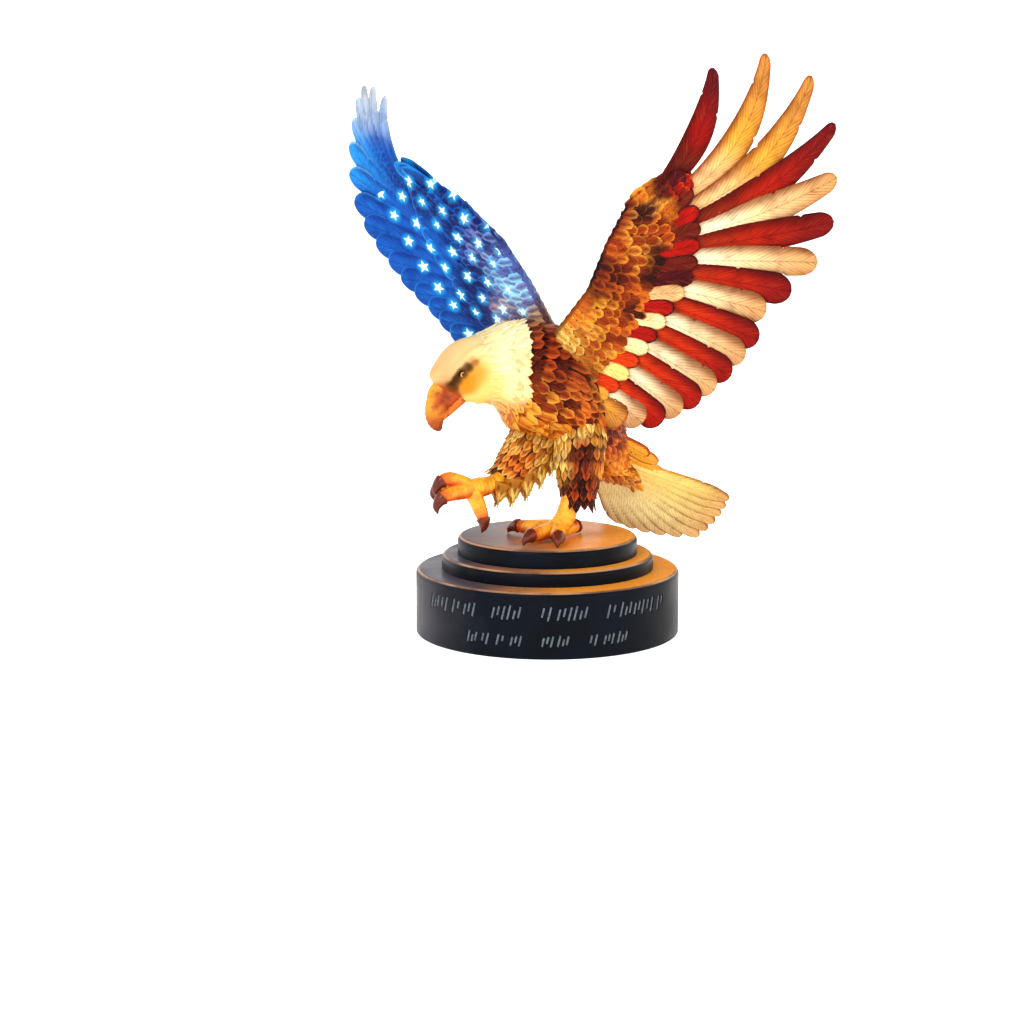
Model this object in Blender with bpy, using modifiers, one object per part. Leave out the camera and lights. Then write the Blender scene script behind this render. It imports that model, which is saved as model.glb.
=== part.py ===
"""Garden eagle: a cast resin eagle alighting on a turned, three-step plinth.

The plinth's axis is the Z axis and its underside is z = 0. The plinth's front is -Y.
Lengths below are millimetres, and MM turns them into Blender's metres.
"""

import math

import bmesh
import bpy
import numpy as np
from mathutils import Vector

MM = 0.001
SEAT_GAP = 0.3
MERGE_METRES = 0.00005
CREASE = math.radians(35.0)

# Plinth, from the bottom step to the top one: radius and height of each step's top.
STEP_RADII = (65.0, 52.3, 44.3)
STEP_TOPS = (32.0, 39.2, 48.2)
EDGE_ROUND = 2.6
ARC_STEPS = 2
PLINTH_SIDES = 48

# The bird's heading, turned from -X towards the front.
HEADING = math.radians(50.0)
LEFT = np.array((math.sin(HEADING), -math.cos(HEADING), 0.0))

# Trunk from rump to brow: centre, half width, half depth.
TRUNK = (
    ((42.0, 37.0, 69.0), 5.5, 2.6),
    ((34.5, 31.0, 75.0), 10.0, 6.2),
    ((28.0, 25.0, 82.5), 14.0, 11.0),
    ((22.0, 18.0, 92.0), 19.0, 16.0),
    ((15.5, 10.0, 103.0), 22.5, 20.0),
    ((10.0, 3.0, 114.0), 24.0, 22.0),
    ((1.9, -5.2, 122.6), 23.5, 25.0),
    ((-6.3, -11.0, 127.5), 21.5, 26.7),
    ((-13.0, -14.3, 131.0), 19.0, 23.7),
    ((-21.5, -18.0, 133.0), 16.5, 19.5),
    ((-31.0, -21.5, 132.5), 14.0, 16.5),
    ((-40.5, -24.8, 130.2), 11.0, 15.3),
    ((-47.0, -27.0, 126.3), 8.3, 11.8),
    ((-49.8, -27.9, 122.8), 5.4, 8.0),
)
HEAD_SIDE = np.array((0.30, -0.95, 0.0))
TRUNK_SIDES = 16

# The pale feathers of the head end on the shoulders in a ring of points.
HOOD = (
    ((-12.2, -13.9, 131.0), 21.4, 25.4),
    ((-16.7, -15.8, 132.2), 19.6, 23.6),
    ((-22.5, -18.4, 133.2), 17.4, 20.2),
    ((-31.0, -21.5, 132.5), 14.5, 16.9),
    ((-39.6, -24.6, 130.7), 11.6, 15.8),
)
HOOD_POINTS = 9
HEM_DEPTH = 5.0

# Brow ridge and eye: the trunk's row, the angle above its side, and the radius.
BROW = ((10.2, 40.0, 1.0), (10.8, 33.0, 2.0), (11.5, 27.0, 2.0), (12.2, 22.0, 1.0))
EYE = ((10.9, 19.0, 1.2), (11.1, 17.0, 2.1), (11.35, 15.0, 1.2))

UPPER_BEAK = (
    ((-43.5, -26.0, 125.5), 6.0, 7.0),
    ((-49.4, -27.8, 120.8), 5.3, 7.4),
    ((-52.6, -28.8, 115.7), 4.3, 6.0),
    ((-53.7, -29.3, 110.7), 3.2, 4.8),
    ((-52.8, -29.4, 106.5), 2.1, 3.4),
    ((-51.4, -29.2, 103.8), 0.9, 1.2),
)
LOWER_BEAK = (
    ((-40.5, -25.2, 120.4), 5.0, 3.4),
    ((-45.2, -26.7, 115.6), 4.2, 2.8),
    ((-48.5, -27.8, 111.8), 2.8, 2.0),
    ((-50.1, -28.2, 109.0), 1.1, 0.9),
)
BEAK_SIDES = 8

# Legs: centre, half width, half depth, from the hip down.
LEFT_THIGH = (
    ((13.5, -3.0, 110.0), 10.0, 10.0),
    ((15.6, -7.0, 100.0), 12.6, 12.2),
    ((15.6, -9.0, 89.0), 12.4, 11.8),
    ((15.2, -10.0, 78.0), 10.8, 10.4),
    ((15.0, -10.5, 68.5), 8.2, 8.2),
)
RIGHT_THIGH = (
    ((3.0, 11.0, 108.0), 10.0, 10.0),
    ((-3.0, 5.5, 98.0), 13.5, 13.5),
    ((-9.0, -0.5, 89.0), 13.2, 13.0),
    ((-15.5, -7.0, 82.0), 11.0, 11.0),
    ((-21.5, -12.5, 77.5), 8.0, 8.0),
)
LEG_SIDES = 12
LEFT_SHANK = (
    ((13.0, -11.0, 80.0), 4.4),
    ((11.0, -13.0, 68.0), 4.4),
    ((8.5, -14.0, 59.0), 5.0),
    ((4.5, -14.4, 53.6), 4.8),
)
RIGHT_SHANK = (
    ((-18.0, -9.5, 80.0), 4.2),
    ((-26.5, -17.0, 76.0), 4.2),
    ((-33.0, -23.0, 75.2), 4.9),
    ((-37.5, -27.0, 75.0), 4.4),
)
SHANK_SIDES = 8

# Feather points hanging from the back of the raised thigh: the root, and the point below it.
FRINGE = (
    ((0.0, -3.0, 92.0), (1.5, -6.5, 79.5)),
    ((-5.0, -7.0, 85.5), (-3.5, -10.0, 74.0)),
    ((-11.0, -11.0, 80.5), (-10.5, -13.5, 68.5)),
    ((-17.0, -14.5, 77.5), (-17.5, -17.5, 66.5)),
    ((-22.5, -17.5, 75.5), (-24.5, -20.5, 67.5)),
)
FRINGE_RADII = (5.5, 4.0, 0.6)
FRINGE_SIDES = 5

# Each toe runs palm, knuckle, last joint, talon root, talon middle, talon tip.
TOE_RADII = (4.0, 3.4, 3.0, 2.3, 1.5, 0.5)
TOE_SIDES = 6
TOE_SIDE = LEFT + (0.0, 0.0, 0.1)
PALM_LEFT = (4.5, -13.5, 53.0)
LEFT_TOES = (
    (
        (-4.5, -7.8, 53.0),
        (-11.0, -3.6, 52.4),
        (-15.2, -1.0, 52.6),
        (-18.2, 1.0, 51.0),
        (-19.6, 2.2, 48.6),
    ),
    (
        (-1.5, -20.5, 53.0),
        (-5.6, -25.6, 52.4),
        (-8.4, -29.0, 52.6),
        (-10.6, -31.6, 51.0),
        (-11.6, -33.0, 48.6),
    ),
    (
        (5.0, -22.0, 53.0),
        (5.2, -28.8, 52.4),
        (5.1, -33.2, 52.6),
        (4.9, -36.8, 51.0),
        (4.8, -38.4, 48.6),
    ),
    (
        (9.5, -7.0, 52.6),
        (12.4, -2.8, 52.4),
        (14.2, 0.2, 52.4),
        (15.6, 2.8, 50.8),
        (16.2, 4.2, 48.6),
    ),
)
PALM_RIGHT = (-36.5, -26.0, 75.0)
RIGHT_TOES = (
    (
        (-42.5, -29.5, 79.0),
        (-47.6, -32.4, 80.8),
        (-51.2, -34.4, 79.4),
        (-53.2, -35.6, 76.2),
        (-52.6, -35.8, 72.4),
    ),
    (
        (-42.0, -32.0, 74.4),
        (-47.5, -36.5, 73.8),
        (-50.8, -38.9, 71.8),
        (-52.6, -40.3, 68.6),
        (-52.2, -40.6, 65.2),
    ),
    (
        (-43.5, -24.0, 76.0),
        (-49.5, -22.6, 76.4),
        (-53.0, -21.8, 74.8),
        (-55.0, -21.2, 71.6),
        (-54.6, -21.0, 68.2),
    ),
    (
        (-34.0, -28.5, 69.5),
        (-31.8, -30.5, 64.2),
        (-30.6, -31.4, 60.6),
        (-30.6, -31.2, 57.2),
        (-31.6, -30.4, 54.4),
    ),
)

# The standing foot is cut flat at the sole's height, between these corners in plan.
SOLE = STEP_TOPS[-1] + SEAT_GAP
SOLE_CUT = 4.0
SOLE_LOW = (-24.0, -44.0)
SOLE_HIGH = (22.0, 8.0)

# A wing lies in a plan: p runs from the shoulder to the wrist and q from the leading to the trailing edge.
# The stops number the flight feathers from the leading edge. Bow is a feather's sideways curve as a
# share of its length, and the girths make the first ones slimmer. The arm's stations run out from
# the shoulder.
FLIGHT_COUNT = 18
PRIMARY_COUNT = 8
FINGER_FADE = 4.0
TIP_STOPS = (0, 1, 2, 3, 4, 5, 6, 7, 8, 9, 11, 13, 15, 17)
BOW_STOPS = (0, 1, 2, 3, 4, 6)
GIRTHS = (0.86, 0.95, 1.0, 1.0, 1.06, 1.0)
ROOT_STOPS = (0, 1, 3, 7, 12, 17)
ARM_P = (-14, -2, 14, 36, 60, 82, 96, 106)
ARM_THICK = (13.0, 13.0, 11.0, 9.5, 8.5, 7.5, 6.0, 3.5)
COVERT_THICK = (6.0, 6.0, 6.0, 6.0, 6.0, 5.5, 4.5, 3.0)
WINGS = {
    "left": {
        "origin": (10.0, -14.0, 133.0),
        "span": (0.60, -0.20, 0.77),
        "chord": (0.79, 0.03, -0.61),
        "back": 1.0,
        "bow": (0.11, 0.145, 0.135, 0.09, 0.045, 0.0),
        "tip_p": (154, 173, 177.5, 167.5, 149.5, 133.5, 114.5, 96.5, 81.5, 69, 47, 26.5, 7, -4.5),
        "tip_q": (-35, -19.5, 3.8, 26.2, 42, 53.5, 59.5, 58.8, 55.8, 61.5, 62.5, 59.5, 52, 38),
        "root_p": (88, 84, 76, 60, 28, -6),
        "root_q": (-20, -15, -8, -2, 0, 2),
        "leading": (-9.5, -14.5, -16, -16.5, -23.5, -27.5, -23.5, -18),
        "arm_trailing": (10, 15, 15, 11, 6, 1, -8, -12),
        "covert_trailing": (14, 24, 27, 24, 19, 14, 5, -5),
    },
    "right": {
        "origin": (0.0, 8.0, 135.0),
        "span": (-0.55, -0.02, 0.83),
        "chord": (-0.60, 0.70, -0.38),
        "back": -1.0,
        "bow": (0.21, 0.19, 0.17, 0.15, 0.1, 0.0),
        "tip_p": (149, 156, 159, 156, 149, 141, 129, 116, 104, 92.5, 71, 51, 34, 16),
        "tip_q": (-0.5, 4, 10, 18, 27.5, 38, 46, 52.3, 54.3, 54.5, 53.2, 49.2, 47, 41),
        "root_p": (88, 84, 76, 60, 28, -6),
        "root_q": (14, 15, 14, 8, 2, 2),
        "leading": (-8, -14, -18.5, -23, -23.5, -13.5, -4.5, 10),
        "arm_trailing": (10, 13, 14, 12, 11, 13, 14, 16),
        "covert_trailing": (14, 24, 28, 30, 30, 30, 28, 24),
    },
}
SCALLOPS = 9
SCALLOP_DEPTH = 3.0
SLAB_SIDES = 8
SLAB_END = 3.0
SLAB_EDGE = 0.6
COVERT_START = 5.0
COVERT_LIFT = -0.7
CAMBER = 6.0
CAMBER_MIDDLE = 12.0
CAMBER_REACH = 45.0
BEND = 9.0
BEND_START = 60.0
BEND_REACH = 115.0

FEATHER_SIDES = 6
CURVED_STEPS = (0.0, 0.35, 0.7, 0.86, 0.955)
STRAIGHT_STEPS = (0.0, 0.45, 0.86, 0.955)
FEATHER_THICK = 3.2
FEATHER_THINNING = 0.35
QUILL_OVERRUN = 0.04
FEATHER_TILT = math.radians(8.0)

# Width along a feather, at these shares of its length, for a fingered primary and for a round secondary.
WIDTH_STOPS = (0.0, 0.35, 0.5, 0.7, 0.86, 0.96, 1.0)
FINGER_WIDTHS = (7.0, 14.0, 15.2, 12.8, 9.2, 5.4, 0.0)
ROUND_WIDTHS = (7.0, 12.0, 13.4, 14.6, 15.2, 9.6, 0.0)

TAIL_ROOT = (27.0, 24.5, 82.0)
TAIL_COUNT = 11
TAIL_HEADING = math.radians(38.0)
TAIL_PITCH = math.radians(36.8)
TAIL_ROLL = math.radians(33.6)
TAIL_HALF_SPREAD = math.radians(26.3)
TAIL_LENGTH_NEAR = 73.0
TAIL_LENGTH_MIDDLE = 83.0
TAIL_LENGTH_FAR = 54.5
TAIL_STEPS = (0.0, 0.35, 0.65, 0.84, 0.95)
TAIL_WIDTHS = (6.19, 9.73, 11.5, 11.06, 7.52)
TAIL_ROOT_SPREAD = 9.0
TAIL_CURL = 3.0
TUFT = (
    ((26.0, 20.0, 84.0), 8.0, 7.0),
    ((33.0, 25.0, 77.5), 8.5, 7.0),
    ((40.0, 31.0, 73.0), 7.0, 5.0),
    ((46.0, 36.5, 70.0), 3.0, 2.4),
)


def unit(vector):
    vector = np.asarray(vector, float)
    return vector / np.linalg.norm(vector)


def collection(name):
    made = bpy.data.collections.new(name)
    bpy.context.scene.collection.children.link(made)
    return made


def material(name, colour, roughness, metallic=0.0):
    made = bpy.data.materials.new(name)
    made.use_nodes = True
    shader = made.node_tree.nodes["Principled BSDF"]
    shader.inputs["Base Color"].default_value = (*colour, 1.0)
    shader.inputs["Roughness"].default_value = roughness
    shader.inputs["Metallic"].default_value = metallic
    return made


def loft(name, start, rings, end, target):
    """A closed skin over rings of equal point count, with a pole at each end."""
    mesh = bmesh.new()
    first = mesh.verts.new(Vector(start) * MM)
    last = mesh.verts.new(Vector(end) * MM)
    rows = [[mesh.verts.new(Vector(point) * MM) for point in ring] for ring in rings]
    count = len(rows[0])
    for k in range(count):
        after = (k + 1) % count
        mesh.faces.new((first, rows[0][after], rows[0][k]))
        mesh.faces.new((last, rows[-1][k], rows[-1][after]))
        for low, high in zip(rows, rows[1:]):
            mesh.faces.new((low[k], low[after], high[after], high[k]))
    bmesh.ops.recalc_face_normals(mesh, faces=mesh.faces[:])
    return placed(name, mesh, target)


def placed(name, mesh, target):
    """The mesh as a smoothly shaded object, with its creases sharp."""
    data = bpy.data.meshes.new(name)
    mesh.to_mesh(data)
    mesh.free()
    data.shade_smooth()
    data.set_sharp_from_angle(angle=CREASE)
    obj = bpy.data.objects.new(name, data)
    target.objects.link(obj)
    return obj


def directions(centres):
    """Unit steps along a path of points."""
    centres = np.asarray(centres, float)
    return np.array([unit(step) for step in np.gradient(centres, axis=0)])


def ellipses(rows, side, sides):
    """Each row's ellipse, square to the path through the centres; side gives its width direction."""
    centres = np.array([row[0] for row in rows], float)
    side = np.broadcast_to(np.asarray(side, float), centres.shape)
    angles = np.arange(sides) * 2 * math.pi / sides
    rings = []
    for (centre, width, depth), along, across in zip(rows, directions(centres), side):
        across = unit(across - along * np.dot(across, along))
        upward = np.cross(along, across)
        rings.append([centre + width * math.cos(a) * across + depth * math.sin(a) * upward for a in angles])
    return centres, rings


def limb(name, rows, side, sides, target):
    """A rounded limb through rows of centre, half width and half depth."""
    centres, rings = ellipses(rows, side, sides)
    along = directions(centres)
    start = centres[0] - along[0] * rows[0][2] * 0.5
    end = centres[-1] + along[-1] * rows[-1][2] * 0.5
    return loft(name, start, rings, end, target)


def tube(centres, radii):
    """Rows for a round limb."""
    return [(centre, radius, radius) for centre, radius in zip(centres, radii)]


def trunk(target):
    return limb("trunk", TRUNK, trunk_sides(), TRUNK_SIDES, target)


def trunk_sides():
    """The width direction of each row, which turns from the body's to the head's."""
    turn = np.linspace(0.0, 1.0, len(TRUNK))[:, None]
    return LEFT * (1 - turn) + HEAD_SIDE * turn


def trunk_point(row, angle):
    """The trunk's surface between its rows, at an angle up from its left side."""
    rows = np.arange(len(TRUNK))
    centres = np.array([r[0] for r in TRUNK])

    def between(values):
        return np.array([np.interp(row, rows, column) for column in np.asarray(values, float).T])

    along = unit(between(directions(centres)))
    across = between(trunk_sides())
    across = unit(across - along * np.dot(across, along))
    width, depth = between([r[1:] for r in TRUNK])
    upward = np.cross(along, across)
    return between(centres) + width * math.cos(angle) * across + depth * math.sin(angle) * upward


def hemmed(name, rows, side, sides, target):
    """A sleeve of feathers: its last ring is a hem of points."""
    centres, rings = ellipses(rows, side, sides)
    along = directions(centres)
    rings[-1] = [point + along[-1] * (HEM_DEPTH if k % 2 else 0.0) for k, point in enumerate(rings[-1])]
    start = centres[0] - along[0] * rows[0][2] * 0.5
    return loft(name, start, rings, centres[-1] + along[-1] * HEM_DEPTH * 0.5, target)


def head(target):
    """The hood of pale feathers, and a brow ridge and an eye on each side."""
    hemmed("hood", HOOD[::-1], HEAD_SIDE, 2 * HOOD_POINTS, target)
    for name, rows in (("brow", BROW), ("eye", EYE)):
        radii = [radius for _, _, radius in rows]
        for word, zero, turn in (("left", 0.0, 1), ("right", math.pi, -1)):
            centres = [trunk_point(row, zero + turn * math.radians(angle)) for row, angle, _ in rows]
            limb(f"{word}_{name}", tube(centres, radii), HEAD_SIDE, TOE_SIDES, target)


def beak(target):
    limb("upper_beak", UPPER_BEAK, HEAD_SIDE, BEAK_SIDES, target)
    limb("lower_beak", LOWER_BEAK, HEAD_SIDE, BEAK_SIDES, target)


def legs(target):
    hemmed("left_thigh", LEFT_THIGH, LEFT, LEG_SIDES, target)
    hemmed("right_thigh", RIGHT_THIGH, LEFT, LEG_SIDES, target)
    for number, (root, point) in enumerate(FRINGE):
        centres = np.linspace(root, point, len(FRINGE_RADII))
        limb(f"fringe_{number + 1}", tube(centres, FRINGE_RADII), LEFT, FRINGE_SIDES, target)
    limb("left_shank", tube(*zip(*LEFT_SHANK)), LEFT, SHANK_SIDES, target)
    limb("right_shank", tube(*zip(*RIGHT_SHANK)), LEFT, SHANK_SIDES, target)
    for foot, palm, toes in (("left", PALM_LEFT, LEFT_TOES), ("right", PALM_RIGHT, RIGHT_TOES)):
        for number, joints in enumerate(toes):
            rows = tube((palm, *joints), TOE_RADII)
            limb(f"{foot}_toe_{number + 1}", rows, TOE_SIDE, TOE_SIDES, target)


def wing_frame(wing):
    """The plan's span, chord and back directions in the row frame."""
    span = unit(wing["span"])
    chord = np.asarray(wing["chord"], float)
    chord = unit(chord - span * np.dot(chord, span))
    return span, chord, np.cross(span, chord) * wing["back"]


def wing_point(wing, p, q, h):
    """A plan point and its height towards the wing's back, on the cambered and bent wing."""
    span, chord, back = wing_frame(wing)
    camber = -CAMBER * ((q - CAMBER_MIDDLE) / CAMBER_REACH) ** 2
    bend = BEND * (max(p - BEND_START, 0.0) / BEND_REACH) ** 2
    return np.asarray(wing["origin"]) + span * p + chord * q + back * (h + camber + bend)


def feather_rings(root, tip, steps, widths, thick, tilt, bow):
    """Lens sections along a curved quill, as plan points with heights, and the quill's two ends."""
    root = np.asarray(root, float)
    tip = np.asarray(tip, float)
    line = tip - root
    cross = np.array((-line[1], line[0])) / np.linalg.norm(line)
    bulge = cross * bow * np.linalg.norm(line)
    rings = []
    for share, width in zip(steps, widths):
        centre = root + line * share + bulge * 4 * share * (1 - share)
        half = 0.5 * width
        ring = []
        for angle in np.arange(FEATHER_SIDES) * 2 * math.pi / FEATHER_SIDES:
            reach = half * math.cos(angle)
            swell = 0.5 * thick * (1 - FEATHER_THINNING * share) * math.sin(angle)
            ring.append((*(centre + cross * reach), swell + reach * math.tan(tilt)))
        rings.append(ring)
    return (*(root - line * QUILL_OVERRUN), 0.0), rings, (*tip, 0.0)


def flight_feather(number, wing):
    """Root and tip in the plan, the rings' places and widths, and the bow of one flight feather."""
    tip = (np.interp(number, TIP_STOPS, wing["tip_p"]), np.interp(number, TIP_STOPS, wing["tip_q"]))
    root = (np.interp(number, ROOT_STOPS, wing["root_p"]), np.interp(number, ROOT_STOPS, wing["root_q"]))
    finger = min(max((PRIMARY_COUNT - 1 - number) / FINGER_FADE, 0.0), 1.0)
    outline = np.array(FINGER_WIDTHS) * finger + np.array(ROUND_WIDTHS) * (1 - finger)
    steps = CURVED_STEPS if number < BOW_STOPS[-1] else STRAIGHT_STEPS
    widths = np.interp(steps, WIDTH_STOPS, outline) * np.interp(number, BOW_STOPS, GIRTHS)
    return root, tip, steps, widths, np.interp(number, BOW_STOPS, wing["bow"])


def slab(name, wing, leading, trailing, thick, first, lift, target):
    """A tapered layer of coverts along the arm, with feather tips cut into its trailing edge."""
    rings = []
    for k in range(2 * SCALLOPS + 1):
        p = first + (ARM_P[-1] - first) * k / (2 * SCALLOPS)
        fore = np.interp(p, ARM_P, leading)
        aft = np.interp(p, ARM_P, trailing) - (SCALLOP_DEPTH if k % 2 == 0 else 0.0)
        middle = 0.5 * (fore + aft)
        half = 0.5 * (aft - fore)
        depth = np.interp(p, ARM_P, thick)
        ring = []
        for angle in np.arange(SLAB_SIDES) * 2 * math.pi / SLAB_SIDES:
            share = 0.5 - 0.5 * math.cos(angle)
            swell = SLAB_EDGE + (1 - SLAB_EDGE) * share
            height = lift + 0.5 * depth * math.sin(angle) * swell
            ring.append(wing_point(wing, p, middle + half * math.cos(angle), height))
        rings.append(ring)
    start = wing_point(wing, ARM_P[0] - SLAB_END, 0.5 * (leading[0] + trailing[0]), 0.0)
    end = wing_point(wing, ARM_P[-1] + SLAB_END, 0.5 * (leading[-1] + trailing[-1]), 0.0)
    loft(name, start, rings, end, target)


def wing(side, target):
    shape = WINGS[side]
    slab(f"{side}_arm", shape, shape["leading"], shape["arm_trailing"], ARM_THICK, ARM_P[0], 0.0, target)
    behind = [fore + COVERT_START for fore in shape["leading"]]
    first = ARM_P[0] + 0.5 * (ARM_P[-1] - ARM_P[0]) / SCALLOPS
    slab(f"{side}_coverts", shape, behind, shape["covert_trailing"], COVERT_THICK, first, COVERT_LIFT, target)
    for number in range(FLIGHT_COUNT):
        root, tip, steps, widths, bow = flight_feather(number, shape)
        start, rings, end = feather_rings(root, tip, steps, widths, FEATHER_THICK, FEATHER_TILT, bow)
        skin = [[wing_point(shape, *point) for point in ring] for ring in rings]
        name = f"{side}_flight_{number + 1:02d}"
        loft(name, wing_point(shape, *start), skin, wing_point(shape, *end), target)


def tail_frame():
    """The fan's middle line, its direction towards the near edge, and its back."""
    flat = np.array((math.cos(TAIL_HEADING), math.sin(TAIL_HEADING), 0.0))
    level = np.array((math.sin(TAIL_HEADING), -math.cos(TAIL_HEADING), 0.0))
    middle = flat * math.cos(TAIL_PITCH) - np.array((0, 0, math.sin(TAIL_PITCH)))
    lift = np.cross(level, middle)
    across = level * math.cos(TAIL_ROLL) + lift * math.sin(TAIL_ROLL)
    return middle, across, np.cross(across, middle)


def tail_point(x, y, h):
    """A point of the fan: x along its middle line, y towards its near edge and h towards its back."""
    middle, across, back = tail_frame()
    curl = TAIL_CURL * (x / TAIL_LENGTH_MIDDLE) ** 2
    return np.asarray(TAIL_ROOT) + middle * x + across * y + back * (h + curl)


def tail(target):
    for number in range(TAIL_COUNT):
        share = 2 * number / (TAIL_COUNT - 1) - 1
        angle = TAIL_HALF_SPREAD * share
        length = np.interp(share, (-1, 0, 1), (TAIL_LENGTH_FAR, TAIL_LENGTH_MIDDLE, TAIL_LENGTH_NEAR))
        root = (0.0, 0.5 * TAIL_ROOT_SPREAD * share)
        tip = length * np.array((math.cos(angle), math.sin(angle)))
        start, rings, end = feather_rings(
            root, tip, TAIL_STEPS, TAIL_WIDTHS, FEATHER_THICK, FEATHER_TILT, 0.0
        )
        skin = [[tail_point(*point) for point in ring] for ring in rings]
        loft(f"tail_{number + 1:02d}", tail_point(*start), skin, tail_point(*end), target)
    limb("tuft", TUFT, LEFT, LEG_SIDES, target)


def plinth(target):
    """One turned profile: each step rises, rounds its edge and runs in to the next."""
    profile = [(0.0, STEP_TOPS[-1])]
    floors = (0.0, *STEP_TOPS[:-1])
    for radius, top, floor in reversed(list(zip(STEP_RADII, STEP_TOPS, floors))):
        for k in range(ARC_STEPS + 1):
            angle = 0.5 * math.pi * (1 - k / ARC_STEPS)
            out = radius - EDGE_ROUND * (1 - math.cos(angle))
            up = top - EDGE_ROUND * (1 - math.sin(angle))
            profile.append((out, up))
        profile.append((radius, floor))
    profile.append((0.0, 0.0))
    data = bpy.data.meshes.new("plinth")
    points = [(r * MM, 0.0, z * MM) for r, z in profile]
    data.from_pydata(points, [(k, k + 1) for k in range(len(points) - 1)], [])
    obj = bpy.data.objects.new("plinth", data)
    target.objects.link(obj)
    turn = obj.modifiers.new("turn", "SCREW")
    turn.steps = turn.render_steps = PLINTH_SIDES
    turn.use_merge_vertices = True
    turn.merge_threshold = MERGE_METRES
    return obj


def sole_cutter(target):
    """A block whose top is where the standing foot is cut flat, clear of the tail and the raised foot."""
    mesh = bmesh.new()
    bmesh.ops.create_cube(mesh, size=1.0)
    low = np.array((*SOLE_LOW, SOLE - SOLE_CUT))
    high = np.array((*SOLE_HIGH, SOLE))
    bmesh.ops.scale(mesh, vec=Vector(high - low) * MM, verts=mesh.verts)
    bmesh.ops.translate(mesh, vec=Vector(0.5 * (low + high)) * MM, verts=mesh.verts)
    return placed("sole_cutter", mesh, target)


def eagle(target, cutters, shapes):
    """The trunk with every other shape joined to it, as one casting with a flat sole."""
    body = trunk(target)
    body.name = body.data.name = "eagle"
    head(shapes)
    beak(shapes)
    legs(shapes)
    wing("left", shapes)
    wing("right", shapes)
    tail(shapes)
    join = body.modifiers.new("cast_as_one", "BOOLEAN")
    join.operation = "UNION"
    join.operand_type = "COLLECTION"
    join.collection = shapes
    join.solver = "MANIFOLD"
    sole = body.modifiers.new("flat_sole", "BOOLEAN")
    sole.operation = "DIFFERENCE"
    sole.object = sole_cutter(cutters)
    sole.solver = "MANIFOLD"
    return body


def main():
    for obj in list(bpy.data.objects):
        bpy.data.objects.remove(obj)
    parts = collection("garden_eagle")
    shapes = collection("eagle_shapes")
    cutters = collection("cutters")
    bird = eagle(parts, cutters, shapes)
    bird.data.materials.append(material("painted_resin", (0.62, 0.33, 0.09), 0.35))
    base = plinth(parts)
    base.data.materials.append(material("black_lacquer", (0.012, 0.013, 0.016), 0.22))
    for guide in [*shapes.objects, *cutters.objects]:
        guide.hide_render = True
        guide.display_type = "WIRE"


main()
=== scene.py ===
"""Garden eagle, dressed: feathers, beak, feet and a lacquered plinth round the loaded frame.

Lengths are millimetres in the row frame, and MM turns them into Blender's metres.
"""

import math
import re
from collections import namedtuple

import bpy
import numpy as np
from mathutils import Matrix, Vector


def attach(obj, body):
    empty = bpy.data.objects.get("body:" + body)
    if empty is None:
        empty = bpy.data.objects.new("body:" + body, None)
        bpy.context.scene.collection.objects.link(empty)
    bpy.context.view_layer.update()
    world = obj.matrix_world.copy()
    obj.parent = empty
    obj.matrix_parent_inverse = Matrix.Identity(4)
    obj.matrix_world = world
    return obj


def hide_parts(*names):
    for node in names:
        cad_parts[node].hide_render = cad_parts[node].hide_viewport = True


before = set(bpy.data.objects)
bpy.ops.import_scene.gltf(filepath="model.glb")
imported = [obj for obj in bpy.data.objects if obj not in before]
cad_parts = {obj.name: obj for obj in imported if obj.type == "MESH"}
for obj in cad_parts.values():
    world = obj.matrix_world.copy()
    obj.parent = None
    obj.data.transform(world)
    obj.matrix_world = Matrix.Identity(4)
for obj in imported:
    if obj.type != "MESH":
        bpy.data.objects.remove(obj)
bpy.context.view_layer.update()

bl_info = {
    "name": "Garden eagle",
    "version": (1, 0, 0),
    "blender": (4, 5, 0),
    "location": "3D View > Sidebar > Eagle",
    "description": "Builds a painted resin garden eagle on its turned plinth",
    "category": "Object",
}

MM = 0.001
SEED = 7
FULL_TURN = 2 * math.pi

# Plinth steps from the bottom up, as in the frame.
STEP_RADII = (65.0, 52.3, 44.3)
STEP_TOPS = (32.0, 39.2, 48.2)
EDGE_ROUND = 2.6

HEADING = math.radians(50.0)
LEFT = np.array((math.sin(HEADING), -math.cos(HEADING), 0.0))
HEAD_SIDE = np.array((0.30, -0.95, 0.0))

# Limbs are rows of centre, half width and half depth.
TRUNK = (
    ((42.0, 37.0, 69.0), 5.5, 2.6),
    ((34.5, 31.0, 75.0), 10.0, 6.2),
    ((28.0, 25.0, 82.5), 14.0, 11.0),
    ((22.0, 18.0, 92.0), 19.0, 16.0),
    ((15.5, 10.0, 103.0), 22.5, 20.0),
    ((10.0, 3.0, 114.0), 24.0, 22.0),
    ((1.9, -5.2, 122.6), 23.5, 25.0),
    ((-6.3, -11.0, 127.5), 21.5, 26.7),
    ((-13.0, -14.3, 131.0), 19.0, 23.7),
    ((-21.5, -18.0, 133.0), 16.5, 19.5),
    ((-31.0, -21.5, 132.5), 14.0, 16.5),
    ((-40.5, -24.8, 130.2), 11.0, 15.3),
    ((-47.0, -27.0, 126.3), 8.3, 11.8),
    ((-49.8, -27.9, 122.8), 5.4, 8.0),
)
HOOD = (
    ((-12.2, -13.9, 131.0), 21.4, 25.4),
    ((-16.7, -15.8, 132.2), 19.6, 23.6),
    ((-22.5, -18.4, 133.2), 17.4, 20.2),
    ((-31.0, -21.5, 132.5), 14.5, 16.9),
    ((-39.6, -24.6, 130.7), 11.6, 15.8),
    ((-46.7, -26.9, 126.4), 8.5, 12.0),
    ((-49.7, -27.8, 122.9), 5.5, 8.1),
)
TRUNK_END = 9.4
HOOD_START = 1.15
BARE_FRONT = 3.5
CAPE_STATIONS, CAPE_COUNTS = (10.0, 9.65, 9.3), (30, 28, 28)
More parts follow.
